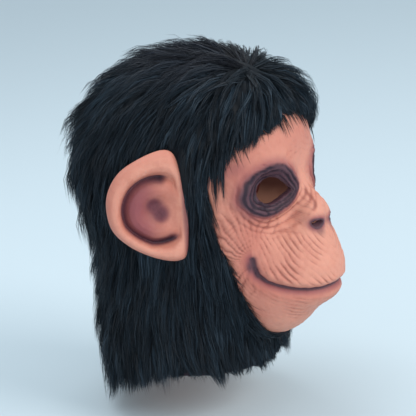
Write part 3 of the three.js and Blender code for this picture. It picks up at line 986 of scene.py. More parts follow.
class FacePaint:
    """Wrinkles, airbrushed shades and painted light and shade of the face, worked out for any places on the
    skin.
    """

    def __init__(self, points: Array, noise: Noise) -> None:
        """Measures the places against the eyes, the mouth and the nose.

        Args:
            points: places on the smooth skin.
            noise: what makes the lines uneven.
        """
        self.points = points
        self.noise = noise
        self.side = np.abs(points[:, 0])
        self.drop = -points[:, 2]
        self.front = sideways_on(points)
        self.eye = EYE_HOLE.local(points)
        hole, ring = EYE_HOLE.radius(points), EYE_RING.radius(points)
        self.eye_apart = (EYE_HOLE.reach(points) - 1) * hole
        outer, inner = (hill(np.hypot(self.eye[:, 0] - side, self.eye[:, 1]), 18) for side in (-26, 26))
        self.eye_share = self.eye_apart / ((ring - hole) * (1 + 0.36 * outer - 0.12 * inner))
        self.mouth_apart = MOUTH.apart(points)
        self.mouth_corner = 1 - ease(MOUTH.nearest(points)[1], 4, 34)
        self.mouth = MOUTH.window(points)
        self.nostril = NOSTRIL.local(points)
        self.wobble = noise(points, 17.0)
        self.ripple = noise(points + 300, 7.0)
        self.bare = ease(-points[:, 1], 25, 50) * ease(self.drop, 30, 50) * (1 - ease(self.drop, 285, 300))
        self.eye_lift = 1.2 * hill(self.eye_apart - 2.4, 2.2) + 2.6 * hill(self.eye_share - 0.75, 0.42)
        self.lines = self._eye_rings() + self._muzzle_folds() + self._cheek_lines()
        self.lines = self.lines + self._chin_lines() + self._brow_lines()

    def _valleys(self, phase: Array, sharp: float) -> Array:
        """Rounded folds with narrow valleys between them.

        Args:
            phase: each whole number is a valley.
            sharp: how narrow the valleys are.

        Returns:
            From -1 in a valley to 0 on a crest.
        """
        return np.abs(np.sin(math.pi * phase)) ** sharp - 1

    def _eye_rings(self) -> Array:
        """Folds that run round the eyes, deepest below them.

        Returns:
            How far each place is moved outwards.
        """
        apart = self.eye_apart
        uneven = 0.5 * self.wobble + 0.3 * self.ripple + 0.45 * self.noise(self.points + 420, 12.0)
        ring = self._valleys(self.eye_share * 3.3 + 0.85 * uneven + 0.25, 0.75)
        near = ease(apart, 0.5, 2.5) * (1 - ease(self.eye_share, 0.95, 1.35))
        broad = self._valleys((apart + 1.5 * self.wobble + 0.35 * self.ripple) / 5.2 + 0.35, 0.8)
        low = ease(-self.eye[:, 1], -8, 14) + 0.3 * ease(-self.eye[:, 0], 8, 24)
        below = low * (1 - ease(apart, 22, 40)) * ease(self.eye_share, 0.9, 1.2)
        broken = 0.62 + 0.38 * self.noise(self.points + 90, 16.0)
        return ring * 1.8 * near * (0.85 + 0.4 * self.wobble) + broad * 1.6 * below * broken + self.eye_lift

    def _muzzle_folds(self) -> Array:
        """Folds that run down and forwards over the upper lip.

        Returns:
            How far each place is moved outwards.
        """
        slant = 0.42 + 0.5 * ease(self.front, 45, 112)
        broad = self.noise(self.points + 500, 26.0)
        phase = (self.front - 60 - (self.drop - 170) * slant + 2.2 * self.wobble + 3.5 * broad) / 6.3
        phase = phase + 0.12 * self.ripple
        area = ease(self.drop, 148, 166) * ease(self.mouth_apart, 3, 9) * ease(self.front, 40, 56)
        area = area * (0.3 + 0.7 * ease(self.side, 4, 14))
        broken = np.clip(0.62 + 0.8 * self.noise(self.points * (1, 1, 0.6) + 50, 13.0), 0.12, 1)
        return self._valleys(phase, 0.6) * area * broken * 1.9

    def _cheek_lines(self) -> Array:
        """Lines that fan out from the mouth's corners over the cheeks.

        Returns:
            How far each place is moved outwards.
        """
        away_front = self.front - 40
        away_down = self.drop - 176
        radius = np.hypot(away_front, away_down)
        angle = np.degrees(np.arctan2(away_down, away_front))
        phase = (angle + 13 * self.wobble + 4 * self.ripple) / 12.0
        behind = 1 - ease(away_front, 2, 14) * ease(away_down, -30, -14)
        area = ease(radius, 6, 15) * (1 - ease(radius, 46, 70)) * behind * (1 - ease(away_down, 30, 48))
        broken = np.clip(0.66 + 0.6 * self.noise(self.points + 140, 14.0), 0.15, 1)
        return self._valleys(phase, 0.6) * area * broken * 1.6

    def _chin_lines(self) -> Array:
        """Fine lines that follow the lower lip over the chin.

        Returns:
            How far each place is moved outwards.
        """
        phase = (self.mouth_apart + 0.16 * self.front + 1.5 * self.wobble + 0.5 * self.ripple) / 4.6
        area = (1 - ease(self.mouth_apart, -9, -6)) * ease(self.mouth_apart, -58, -40)
        area = area * ease(-self.points[:, 1], 55, 75)
        broken = np.clip(0.5 + 0.8 * self.noise(self.points + 210, 11.0), 0, 1)
        return self._valleys(phase, 0.7) * area * broken * 0.9

    def _brow_lines(self) -> Array:
        """Faint lines over the brow and beside the nose.

        Returns:
            How far each place is moved outwards.
        """
        phase = (self.drop - 0.25 * self.side + 3.5 * self.wobble + self.ripple) / 6.5
        brow = ease(self.drop, 52, 64) * (1 - ease(self.drop, 82, 92))
        broken = np.clip(0.3 + 0.9 * self.noise(self.points * (0.5, 0.5, 1) + 260, 10.0), 0, 1)
        lines = self._valleys(phase, 0.6) * brow * broken * 0.9
        bridge_phase = (self.side + 0.3 * self.drop + 1.5 * self.wobble) / 5.0
        bridge = hill(self.drop - 128, 15) * hill(self.side - 17, 8)
        fold, along = NOSE_FOLD.nearest(self.points)
        wing = hill(fold, 1.9) * ease(along, 0, 5) * (1 - ease(along, 24, 29)) * ease(self.side, 4, 8)
        return lines + self._valleys(bridge_phase, 0.8) * bridge * 0.5 - 1.0 * wing

    def relief(self) -> Array:
        """How far the wrinkles move the skin, in millimetres.

        Returns:
            How far each place is moved outwards.
        """
        mouth = self.mouth
        groove = -2.2 * hill(self.mouth_apart - 0.2, 1.8) * mouth
        lips = 1.3 * hill(self.mouth_apart - 7.5, 4.0) + 0.3 * hill(self.mouth_apart + 7.0, 4.2)
        lips = lips * mouth * (1 - self.mouth_corner)
        grain = 0.3 * self.noise(self.points, (2.6, 2.6, 3.4))
        grain = grain + 0.34 * self.noise(self.points + 60, (6, 6, 9))
        septum = -1.2 * hill(self.side, 1.5) * hill(self.drop - 158, 7) * ease(-self.points[:, 1], 100, 115)
        return (self.lines + groove + lips + grain + septum) * self.bare

    def paint(self) -> dict[str, Array]:
        """The painted values.

        Returns:
            crease, crest, fringe, shade and flush, each from 0 to about 1.
        """
        folds = self.lines - self.eye_lift
        # The fold valleys are painted darker: the mask's airbrushing together with painted shade.
        crease = np.clip(-folds * 0.8 - 0.08, 0, 1) * self.bare
        apart = (self.eye_share - 1) * 11 + 1.2 * self.wobble + 0.6 * self.ripple
        ring = 1 - ease(apart, -3.0, 2.5)
        eye_fringe = 1 - ease(apart, -1.0, 10.0)
        corner = self.mouth_corner
        line = hill(self.mouth_apart - 0.1, 1.6 + 2.5 * corner) * self.mouth
        line_fringe = self.mouth * hill(self.mouth_apart + 1.6, 5.0 + 2.6 * corner)
        past_corner = hill(np.hypot(self.front - 37.5, (self.drop - 183) * 0.6), 5.0)
        slit = np.hypot(self.nostril[:, 0] / 8.5, self.nostril[:, 1] / 5.0)
        near_slit = hill(self.nostril[:, 2], 8.0)
        slit_dark = 1 - ease(slit, 0.8, 1.25)
        under = hill(np.hypot(self.side - 11.9, (self.drop - 157.5) * 1.1), 6.5)
        wing = hill(np.hypot(self.side - 17.5, self.drop - 143), 6.0)
        septum = hill(np.hypot(self.side, (self.drop - 150) * 0.6), 5.5) * ease(-self.points[:, 1], 110, 122)
        near_nose = ease(-self.points[:, 1], 105, 118)
        # Painted shade at the temples, next to the edge of the fur.
        temple_shade = hill(self.drop - 84, 12) * hill(self.side - 72, 16)
        shade = np.maximum.reduce(
            [ring, line, 0.8 * past_corner, slit_dark * near_slit, 0.5 * under * near_nose, 0.35 * septum]
        )
        fringe = np.maximum.reduce(
            [
                eye_fringe * 0.62,
                line_fringe * 0.72,
                0.7 * past_corner,
                near_slit * (1 - ease(slit, 1.0, 2.2)) * 0.75,
                0.3 * wing,
                0.5 * temple_shade,
            ]
        )
        lip = 0.4 * hill(self.mouth_apart + 6, 8) * self.mouth
        flush = lip + 0.6 * hill(self.side - 66, 20) * ease(self.drop, 50, 100)
        # Painted shade across the forehead, below the edge of the fur.
        flush = flush + 0.5 * hill(self.drop - 62, 22)
        hem = ease(self.drop, 283, 296)
        return {
            "crease": crease,
            # crest is 1 on the folds' tops, which the finish paints lighter: a painted highlight.
            "crest": np.clip(1 + folds * 0.9, 0, 1) * self.bare,
            "fringe": np.maximum(fringe * self.bare, 0.8 * hem),
            "shade": np.maximum(shade * self.bare, 0.95 * hem),
            "flush": flush * self.bare,
        }


@dataclass
class LatexHead:
    """The latex head: its painted skin with the holes' rims, and its bare lining."""

    form: HeadForm
    columns: int = 400
    crowding: float = 0.6
    lining_columns: int = 150
    rim_depth: float = 5.6
    nostril_depth: float = 7.0
    lining_gap: float = 3.2
    seed: int = 3

    def _angles(self, count: int) -> Array:
        """Angles round the head, closer together on the face."""
        even = np.arange(count) * 2 * math.pi / count
        return np.degrees(even - self.crowding * np.sin(even))

    def build_skin(self) -> bpy.types.Object:
        """Builds the outside.

        Returns:
            The painted skin.
        """
        noise = Noise(self.seed)
        hem = 1 + (HEM - SKULL_MIDDLE) / HALF[2]
        turns = np.r_[np.linspace(0.004, 0.58, 12), np.linspace(0.6, 2.74, 196), np.linspace(2.78, hem, 12)]
        grid = self.form.grid(self._angles(self.columns), turns)
        flat = grid.reshape(-1, 3)
        paint = FacePaint(flat, noise)
        moved = flat + self.form.normal(flat, True) * paint.relief()[:, None]
        values = paint.paint()
        sheet = Sheet(moved.reshape(grid.shape))
        foot = np.arange(len(flat) - self.columns, len(flat))
        inward = unit(-flat[foot] * (1, 1, 0)) * LATEX
        holes = []
        for oval, depth in ((EYE_HOLE, self.rim_depth), (NOSTRIL, self.nostril_depth)):
            edge = sheet.cut(oval)
            holes.append((edge, -oval.directions()[2] * depth * mirror(sheet.points[edge])))
        holes.append((foot, inward))
        for edge, way in holes:
            sources = sheet.rim(edge, way, 3)
            values = {key: np.concatenate([value, value[sources]]) for key, value in values.items()}
        made = sheet.surface(values).build("skin", SkinFinish().material(), "latex")
        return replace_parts(made, "latex_head")

    def build_lining(self) -> bpy.types.Object:
        """Builds the inside, which shows through the holes and from below.

        Returns:
            The lining.
        """
        hem = 1 + (HEM - 1 - SKULL_MIDDLE) / HALF[2]
        turns = np.r_[np.linspace(0.004, 0.6, 8), np.linspace(0.66, 2.7, 74), np.linspace(2.8, hem, 5)]
        around = self._angles(self.lining_columns)
        face = ease(turns, 0.6, 0.8) * (1 - ease(turns, 2.75, 2.95))
        frontal = 1 - ease(np.abs((around + 180) % 360 - 180), 60, 80)
        depth = LATEX + self.lining_gap * face[:, None] * frontal
        sheet = Sheet(self.form.grid(around, turns, -depth))
        sheet.cut(EYE_HOLE, 1.04)
        sheet.cut(NOSTRIL, 1.2)
        sheet.quads = sheet.quads[:, ::-1]
        return sheet.surface({}).build("lining", LiningFinish().material(), "latex")


# Ears


class Side(Enum):
    """The mask's own sides."""

    LEFT = 1
    RIGHT = -1


@dataclass
class Ear:
    """A round cast ear on the mask's side: a broad rolled rim, a groove and a raised middle."""

    wide: float = 74.0
    high: float = 112.0
    wall: float = 3.0
    flare: float = 38.0
    groove: float = 33.5
    columns: int = 144
    rings: int = 46
    seed: int = 5

    OUTLINE = (
        (0.02, 0.38),
        (0.16, 0.5),
        (0.48, 0.455),
        (0.8, 0.33),
        (0.97, 0.12),
        (0.94, -0.14),
        (0.72, -0.32),
        (0.4, -0.445),
        (0.1, -0.49),
        (-0.03, -0.4),
        (-0.06, 0.0),
    )
    INNER = ((0, 0.2, 0.34, 0.5, 0.64, 0.8, 0.92, 1), (-4.6, -4.2, -1.4, 1.6, 2.4, 0.9, -3.0, -5.4))
    OUTER = ((0, 0.1, 0.25, 0.45, 0.7, 0.88, 1), (-5.4, -1.0, 3.8, 5.6, 5.0, 2.8, -0.6))

    def axes(self) -> tuple[Array, Array, Array]:
        """The ear's root, and the ways that it spreads and faces, on the +X side.

        Returns:
            The root, and both ways as unit vectors.
        """
        angle = math.radians(self.flare)
        root = np.array([1.02, -0.24, -1.18]) * HALF
        outwards = np.array([math.sin(angle), math.cos(angle), 0])
        facing = np.array([math.cos(angle), -math.sin(angle), 0])
        return root, outwards, facing

    def middle(self) -> Array:
        """The ear's middle, out from its root and up from it."""
        return np.array([0.33 * self.wide, -0.02 * self.high])

    def rim(self, angles: Array) -> Array:
        """How far the rim is from the middle at each angle, in radians from straight out.

        Args:
            angles: the angles.

        Returns:
            The distances.
        """
        corners = np.array(self.OUTLINE) * (self.wide, self.high)
        count = len(corners)
        steps = []
        for k in range(count):
            a, b, c, d = (corners[(k + j - 1) % count] for j in range(4))
            t = np.linspace(0, 1, 12, endpoint=False)[:, None]
            square, cube = 2 * a - 5 * b + 4 * c - d, 3 * b - a - 3 * c + d
            steps.append(0.5 * (2 * b + (c - a) * t + square * t**2 + cube * t**3))
        curve = np.concatenate(steps) - self.middle()
        angle = np.arctan2(curve[:, 1], curve[:, 0])
        order = np.argsort(angle)
        return np.interp(angles, angle[order], np.hypot(*curve.T)[order], period=2 * math.pi)

    def _shape(self, radius: Array, angle: Array) -> tuple[Array, dict[str, Array]]:
        """The front's relief and paint.

        Args:
            radius: how far each place is from the middle.
            angle: in which way, in radians from straight out.

        Returns:
            How far it stands out, and the painted values.
        """
        rim = self.rim(angle)
        groove = np.minimum(self.groove, 0.72 * rim)
        inside = radius / groove
        outside = np.clip((radius - groove) / (rim - groove), 0, 1)
        inner = np.interp(inside, *self.INNER)
        outer = np.interp(outside, *self.OUTER)
        towards_root = np.pi - np.abs(angle)
        open_front = 1 - ease(towards_root, math.radians(34), math.radians(76))
        plain = np.interp(radius, [0, 10, 22, 60], [-4.6, -2.6, 0.6, 1.6])
        lift = np.where(radius < groove, inner, outer)
        lift = lift + (plain - lift) * open_front
        to_groove = radius - groove
        sharp = np.where(to_groove > 0, hill(to_groove, 1.8), hill(to_groove, 7.5))
        ends = 0.72 + 0.28 * hill(np.abs(angle) - math.radians(108), 0.5)
        past_end = np.maximum(angle - math.radians(98), -angle - math.radians(112))
        c_shape = 1 - ease(past_end, 0, math.radians(22))
        flat_x = radius * np.cos(angle)
        flat_y = radius * np.sin(angle)
        upper, lower = np.hypot(flat_x - 3.5, flat_y - 5), np.hypot(flat_x + 3, flat_y + 4.5)
        smudge = 1 - ease(upper * lower / (np.hypot(upper, lower) + 0.1), 3.0, 12.5)
        mound = (1 - ease(radius, groove * 0.8, groove * 1.02)) * (0.2 + 0.8 * ease(flat_x, -16, 20))
        shade = np.maximum(sharp * c_shape * ends * 0.85, 0.5 * smudge)
        # A painted shadow on the ear's front next to its root, where it meets the fur.
        root_shadow = ease(-flat_x, 20.5, 27)
        fringe = np.maximum.reduce([sharp * c_shape * 0.95, 0.95 * smudge, 0.8 * mound, 0.6 * root_shadow])
        return lift, {
            "crease": np.zeros_like(radius),
            "crest": ease(outside, 0.1, 0.5),
            "fringe": fringe,
            "shade": np.maximum(shade, 0.35 * root_shadow),
            "flush": np.maximum(0.5 * mound, 0.5 * ease(outside, 0.5, 1)),
        }

    def build(self, side: Side, material: bpy.types.Material) -> bpy.types.Object:
        """Builds one ear as a closed body.

        Args:
            side: which ear.
            material: its finish.

        Returns:
            The ear.
        """
        root, outwards, facing = self.axes()
        angles = np.linspace(-math.pi, math.pi, self.columns, endpoint=False)
        rim = self.rim(angles)
        shares = np.linspace(0.0005, 1, self.rings) ** 0.9
        radius = shares[:, None] * rim
        angle = np.broadcast_to(angles, radius.shape)
        lift, paint = self._shape(radius, angle)
        noise = Noise(self.seed)
        flat = np.stack([radius * np.cos(angle), radius * np.sin(angle), lift], axis=-1)
        lift = lift + 0.35 * noise(flat, 16.0) + 0.12 * noise(flat, 5.0)
        back_rows = list(range(self.rings - 1, -1, -3))
        middle = self.middle()
        out = middle[0] + radius * np.cos(angle)
        up = middle[1] + radius * np.sin(angle)
        to_root = ease(-out, -0.3 * self.wide, 0.02 * self.wide)
        narrowing = ease(np.abs(up), 0.25 * self.high, 0.42 * self.high)
        behind = lift * 0.75 - self.wall - 30 * to_root * (1 - narrowing)
        roll = 1 - 0.02 * ease(shares, 0.9, 1)[:, None]

        def spot(rows: Any, depth: Array, shrink: Any = 1.0) -> Array:
            """Places for some rows of the ear at a depth.

            Args:
                rows: which rows.
                depth: how far forwards of the ear's plane each place is.
                shrink: the rows' size as a share of the rim's.

            Returns:
                The places.
            """
            flat_out = middle[0] + (out[rows] - middle[0]) * shrink
            flat_up = middle[1] + (up[rows] - middle[1]) * shrink
            placed = root + flat_out[..., None] * outwards + depth[rows][..., None] * facing
            placed[..., 2] += flat_up
            return placed

        front = spot(slice(None), lift)
        turned = spot([self.rings - 1], lift - self.wall * 0.5, 1.012)
        back = spot(back_rows, behind, roll[back_rows])
        grid = np.concatenate([front, turned, back])
        rows = np.r_[np.arange(self.rings), self.rings - 1, back_rows]
        grid[..., 0] *= side.value
        sheet = Sheet(grid)
        if side is Side.RIGHT:
            sheet.quads = sheet.quads[:, ::-1]
        values = {key: value[rows].reshape(-1) for key, value in paint.items()}
        name = f"ear_{side.name.lower()}"
        made = sheet.surface(values).build(f"cast_{name}", material, "latex")
        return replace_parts(made, name)


# Fur


class Region(Enum):
    """The stretches of the coat, each named as the node that it stands for."""

    CROWN = "fur_crown"
    NAPE = "fur_nape"
    SIDEBURN_LEFT = "sideburn_left"
    SIDEBURN_RIGHT = "sideburn_right"
    BEARD = "fur_beard"


@dataclass
class CoatPlan:
    """Where the coat grows, how deep it is, which way it lies and where it ends."""

    form: HeadForm
    ear: Ear
    whorl: tuple[float, float, float] = (-4.0, -66.0, 14.0)
    lowest: float = -352.0
    undercoat_foot: float = 285.0

    EDGE = (
        (-180, -76, -66, -54, -46, -34, -12, 0, 12, 26, 40, 54, 66, 76, 180),
        (0.75, 0.78, 0.92, 0.89, 0.79, 0.745, 0.7, 0.66, 0.72, 0.8, 0.84, 0.89, 0.92, 0.78, 0.75),
    )
    FRINGE_PILE = ((-180, -90, -8, 10, 34, 60, 90, 180), (26, 15, 12, 20, 26, 20, 15, 26))
    FACE = ((0.9, 1.2, 1.5, 1.8, 2.3, 2.6), (57, 59, 55.5, 49, 38, 29))
    TIPS = ((-90, -77, -60, -25, 0, 25, 52, 98, 130), (-300, -301, -308, -305, -306, -317, -326, -346, -345))

    def from_whorl(self, points: Array) -> Array:
        """How far each place is from the whorl."""
        return np.linalg.norm(points - np.array(self.whorl), axis=-1)

    def bareness(self, points: Array) -> Array:
        """How far inside the bare face each place is, in millimetres. Below zero it is in the coat.

        Args:
            points: places, in rows of three.

        Returns:
            The distances.
        """
        around, turn = self.form.whereabouts(points)
        radius = np.hypot(points[..., 0], points[..., 1])
        below_fringe = (turn - np.interp(around, *self.EDGE)) * 165
        around = np.abs(around)
        beside = np.radians(np.interp(turn, *self.FACE) - around) * radius
        chin = 2.78 - 0.14 * (around / 29) ** 2
        above_beard = (chin - turn) * 100
        return np.minimum.reduce([below_fringe, beside, above_beard])

    def region(self, points: Array) -> Array:
        """The number of the stretch that each place is in, in the order of Region.

        Args:
            points: places, in rows of three.

        Returns:
            The numbers, from 0.
        """
        around, turn = self.form.whereabouts(points)
        edge = np.interp(around, *self.EDGE)
        side = np.where(around > 0, 2, 3)
        low = np.where(np.abs(around) < 71, np.where(np.abs(around) < 27, 4, side), 1)
        return np.where(turn < edge, 0, low)

    def pile(self, points: Array) -> Array:
        """How far the coat stands off the latex at each place.

        Args:
            points: places, in rows of three.

        Returns:
            The depths.
        """
        around, turn = self.form.whereabouts(points)
        edge = np.interp(around, *self.EDGE)
        crown = 27 + 2 * hill(self.from_whorl(points), 60)
        top = crown + (np.interp(around, *self.FRINGE_PILE) - crown) * np.clip(turn / edge, 0, 1) ** 1.8
        around = np.abs(around)
        down = np.clip((turn - edge) / (3.07 - edge), 0, 1)
        low = np.interp(around, [0, 28, 60, 80, 130, 180], [5, 8, 13, 15, 25, 26])
        foot = np.interp(around, [0, 28, 80, 180], [7, 11, 17, 17])
        return np.where(turn < edge, top, low + (foot - low) * down**1.5)

    def flow(self, points: Array, normals: Array) -> Array:
        """The way that the coat lies.

        Args:
            points: places near the skin.
            normals: the way that the skin faces there.

        Returns:
            Unit vectors along the skin.
        """
        away = points - np.array(self.whorl)
        far = np.linalg.norm(away, axis=-1, keepdims=True)
        hang = ease(far[..., 0], 55, 190)[..., None]
        around, _ = self.form.whereabouts(points)
        lean = np.zeros_like(points)
        low = ease(-points[..., 2], 200, 310)
        lean[..., 1] = -0.22 * low + 0.1 * (1 - low) * ease(np.abs(around), 60, 100)
        lean[..., 1] -= 0.3 * hill(self.bareness(points) + 2, 9) * ease(-points[..., 2], 70, 100)
        way = away / far * (1 - hang) + (np.array([0, 0, -1.0]) + lean) * (0.15 + hang)
        return unit(way - dot(way, normals)[..., None] * normals)

    def ear_place(self, points: Array) -> tuple[Array, Array, Array]:
        """Measures places against the nearer ear.

        Args:
            points: places, in rows of three.

        Returns:
            How far inside its outline each is, how far before its plane, and how far out from its root.
        """
        root, outwards, facing = self.ear.axes()
        offsets = points * mirror(points) - root
        out, before = dot(offsets, outwards), dot(offsets, facing)
        flat_x, flat_y = out - self.ear.middle()[0], offsets[..., 2] - self.ear.middle()[1]
        inside = self.ear.rim(np.arctan2(flat_y, flat_x)) - np.hypot(flat_x, flat_y)
        return inside, before, out


@dataclass
class Paths:
    """Centre lines of locks, tufts or strands, with the frames that carry them."""

    points: Array
    normals: Array

    def ways(self) -> Array:
        """The direction along each line at each of its points."""
        return unit(np.gradient(self.points, axis=1))


@dataclass
class Coat:
    """The fur: a dark undercoat and gathered strands, whose lengths are in the order of Region."""

    plan: CoatPlan
    strands: int = 126000
    tufts: int = 7600
    locks: int = 620
    stray: int = 1500
    steps: int = 3
    width: float = 0.6
    seed: int = 7
    tracing: int = 14
    gathering: float = 0.55
    per_piece: int = 26000

    LENGTHS = (58.0, 62.0, 54.0, 54.0, 30.0)

    def __post_init__(self) -> None:
        """Prepares the random numbers, the noise and the places where strands can root."""
        self.random = np.random.default_rng(self.seed)
        self.noise = Noise(self.seed)
        self.form = self.plan.form
        around = np.linspace(-180, 180, 241)
        turns = np.r_[np.linspace(0.01, 1, 70), np.linspace(1.012, 3.07, 130)]
        self.field = self.form.grid(around, turns, 0.0, False)
        corners = (self.field[:-1, :-1], self.field[1:, :-1], self.field[:-1, 1:])
        area = np.linalg.norm(np.cross(corners[1] - corners[0], corners[2] - corners[0]), axis=-1)
        middles = (self.field[:-1, :-1] + self.field[1:, 1:]) / 2
        grows = self.plan.bareness(middles) < -1.2
        self.weight = np.where(grows, area, 0).reshape(-1)

    def roots(self, count: int, favour: Callable[[Array], Array] | None = None) -> Array:
        """Scatters places over the coat.

        Args:
            count: how many.
            favour: an optional weight for each place.

        Returns:
            The places, on the latex.
        """
        rows, columns = self.field.shape[0] - 1, self.field.shape[1] - 1
        weight = self.weight
        if favour is not None:
            middles = (self.field[:-1, :-1] + self.field[1:, 1:]) / 2
            weight = weight * favour(middles).reshape(-1)
        cell = self.random.choice(rows * columns, count, p=weight / weight.sum())
        row, column = cell // columns, cell % columns
        u, v = self.random.random((2, count, 1))
        top = self.field[row, column] * (1 - u) + self.field[row, column + 1] * u
        foot = self.field[row + 1, column] * (1 - u) + self.field[row + 1, column + 1] * u
        return top * (1 - v) + foot * v

    def follow(self, roots: Array, length: Array, rise: Array, spare: Array) -> Paths:
        """Lays lines along the coat until they reach their length, the face, the ear or the hem.

        Args:
            roots: where they start.
            length: how long each may be.
            rise: how high each stands, as a share of the coat's depth.
            spare: how far each may reach over an edge.

        Returns:
            The lines.
        """
        fine = self.tracing
        stride = (length / fine)[:, None]
        point = roots.copy()
        normal = self.form.normal(point)
        from_whorl = self.plan.from_whorl(roots)
        spread = self.random.normal(0, 1, roots.shape) * (0.05 + 0.14 * hill(from_whorl, 55))[:, None]
        _, before_root, _ = self.plan.ear_place(roots)
        behind_ear = before_root < -10
        _, _, ear_facing = self.plan.ear.axes()
        sleek = 0.12 + 0.15 * (1 - ease(from_whorl, 20, 80))
        raised = 0.42 * (1 - ease(from_whorl, 30, 85))
        start = point + normal * (0.85 * self.plan.pile(point) * raised)[:, None]
        line, facing = [start], [normal]
        room = np.ones(len(roots)) * fine
        for step in range(1, fine + 1):
            way = unit(self.plan.flow(point, normal) + spread)
            point = point + way * stride
            share = step / fine
            lift = (1 - (1 - share) ** 2.2) * (1 - sleek * share**3)
            lift = raised + (1 - raised) * lift
            height = 0.6 + self.plan.pile(point) * rise * lift
            height = height * (1 - 0.6 * share * ease(self.plan.bareness(point), -22, 0))
            inside, before, _ = self.plan.ear_place(point)
            height = height * (1 - 0.6 * ease(inside, -14, 0) * ease(before, -14, -7))
            normal = self.form.normal(point)
            point = point + normal * (height - self.form.distance(point, False))[:, None]
            inside, before, out = self.plan.ear_place(point)
            push = np.where(behind_ear & (inside > -2), np.maximum(before + 10, 0), 0)
            point = point - push[:, None] * ear_facing * mirror(point)
            over_ear = np.minimum.reduce([inside, out + 2, before + 9]) > spare * 0.3
            over_face = self.plan.bareness(point) > spare
            foot = np.interp(point[:, 1], *self.plan.TIPS) - np.minimum(spare, 9) * 2.3 + 10
            over_hem = point[:, 2] < np.maximum(foot, self.plan.lowest)
            stopped = (over_ear & ~behind_ear) | over_face | over_hem
            room = np.where(stopped & (room == fine), step - 0.5, room)
            line.append(point)
            facing.append(normal)
        lines, faces = np.stack(line, axis=1), np.stack(facing, axis=1)
        room = np.maximum(room, 1.2)
        spot = np.linspace(0, 1, self.steps + 1)[None, :] * room[:, None]
        low = np.minimum(spot.astype(int), fine - 1)
        part = (spot - low)[..., None]
        row = np.arange(len(roots))[:, None]
        points = lines[row, low] * (1 - part) + lines[row, low + 1] * part
        normals = unit(faces[row, low] * (1 - part) + faces[row, low + 1] * part)
        return Paths(points, normals)

    @staticmethod
    def nearest(places: Array, targets: Array) -> Array:
        """The number of the nearest target for each place.

        Args:
            places: where to look from.
            targets: what to look for.

        Returns:
            The numbers.
        """
        tree = KDTree(len(targets))
        for number, target in enumerate(targets):
            tree.insert(target, number)
        tree.balance()
        return np.array([tree.find(place)[1] for place in places])

    def gather(self, tufts: Paths, locks: Paths, owner: Array) -> None:
        """Draws the tufts' tips together into locks.

        Args:
            tufts: the lines to move.
            locks: the lines that they gather round.
            owner: the lock of each tuft.
        """
        share = np.linspace(0, 1, self.steps + 1)[None, :, None]
        towards = locks.points[owner] - tufts.points
        near = np.linalg.norm(towards[:, -1], axis=-1) < 26
        pull = (self.gathering * share**1.5) * near[:, None, None]
        tufts.points = tufts.points + towards * pull

    def grow(self, roots: Array, tufts: Paths, owner: Array) -> tuple[Array, Array]:
        """Makes each strand as a line that starts at its own root and ends near its tuft's tip.

        Args:
            roots: the strands' roots.
            tufts: the tufts' lines.
            owner: the tuft of each strand.

        Returns:
            The strands' points, and the normals there.
        """
        count = len(roots)
        share = np.linspace(0, 1, self.steps + 1)
        guide, facing = tufts.points[owner], tufts.normals[owner]
        ways = tufts.ways()[owner]
        sideways = unit(np.cross(ways, facing))
        offset = roots - guide[:, 0]
        along, across = dot(offset, ways[:, 0]), dot(offset, sideways[:, 0])
        loose = 1 - self.random.uniform(0.55, 0.95, count)[:, None] * share**1.25
        reach = self.random.uniform(0.68, 1.12, count)[:, None] * share
        spot = np.clip(reach, 0, 1) * self.steps
        low = np.minimum(spot.astype(int), self.steps - 1)
        part = (spot - low)[..., None]
        row = np.arange(count)[:, None]
        points = guide[row, low] * (1 - part) + guide[row, low + 1] * part
        long = np.linalg.norm(guide[:, -1] - guide[:, 0], axis=-1)[:, None, None]
        beyond = np.maximum(reach - 1, 0)[..., None] * long
        points = points + ways * beyond
        points = points + sideways * (across[:, None] * loose)[..., None]
        points = points + ways * (along[:, None] * loose)[..., None]
        height = self.random.uniform(-1, 0.35, count)[:, None] * 0.4 * (0.3 + 0.7 * (1 - (1 - share) ** 2))
        depth = self.plan.pile(guide[:, 2])[:, None]
        points = points + facing * (height * depth)[..., None]
        sway = self.random.normal(0, 1, (count, 2))
        wave = np.sin(share[None, :] * 5 + self.random.uniform(0, 6.3, (count, 1))) * share[None, :]
        points = points + sideways * (wave * sway[:, :1] * 1.1)[..., None]
        points = points + facing * (np.abs(sway[:, 1:2]) * share[None, :] ** 2 * 1.3)[..., None]
        sunk = self.form.distance(points, False)
        points = points + facing * np.maximum(0.5 - sunk, 0)[..., None]
        return points, facing

    def ribbons(self, points: Array, normals: Array, tone: Array, brown_and_rim_light: Array) -> Surface:
        """Gives lines a width, tapered to a tip.

        Args:
            points: the strands' points.
            normals: the way that the coat faces there.
            tone: how light each strand is.
            brown_and_rim_light: how brown each strand is, with painted rim light on the top of the head.

        Returns:
            One mesh of all the strands.
        """
        count, rows = points.shape[:2]
        ways = unit(np.gradient(points, axis=1))
        roll = self.random.normal(0, 1.0, count)[:, None, None]
        sideways = unit(np.cross(ways, normals)) * np.cos(roll) + normals * np.sin(roll)
        share = np.linspace(0, 1, rows)
        width = self.width * self.random.uniform(0.6, 1.35, count)[:, None]
        half = (width * 0.5 * (1 - share**2.6) * (0.65 + 0.35 * ease(share, 0, 0.35)))[..., None]
        left, right = points - sideways * half, points + sideways * half
        body = np.stack([left[:, :-1], right[:, :-1]], axis=2).reshape(count, -1, 3)
        each = 2 * (rows - 1) + 1
        flat = np.concatenate([body, points[:, -1:]], axis=1).reshape(-1, 3)
        base = (np.arange(count) * each)[:, None]
        steps = np.arange(rows - 2) * 2
        first = base + steps
        quads = np.stack([first, first + 1, first + 3, first + 2], axis=-1).reshape(-1, 4)
        last = base[:, 0] + 2 * (rows - 2)
        tips = np.stack([last, last + 1, last + 2], axis=-1)
        reach = np.r_[np.repeat(share[:-1], 2), 1.0]
        paint = {
            "tone": np.repeat(tone, each),
            "brown_and_rim_light": np.repeat(brown_and_rim_light, each),
            "reach": np.tile(reach, count),
        }
        return Surface(flat, [quads, tips], paint)

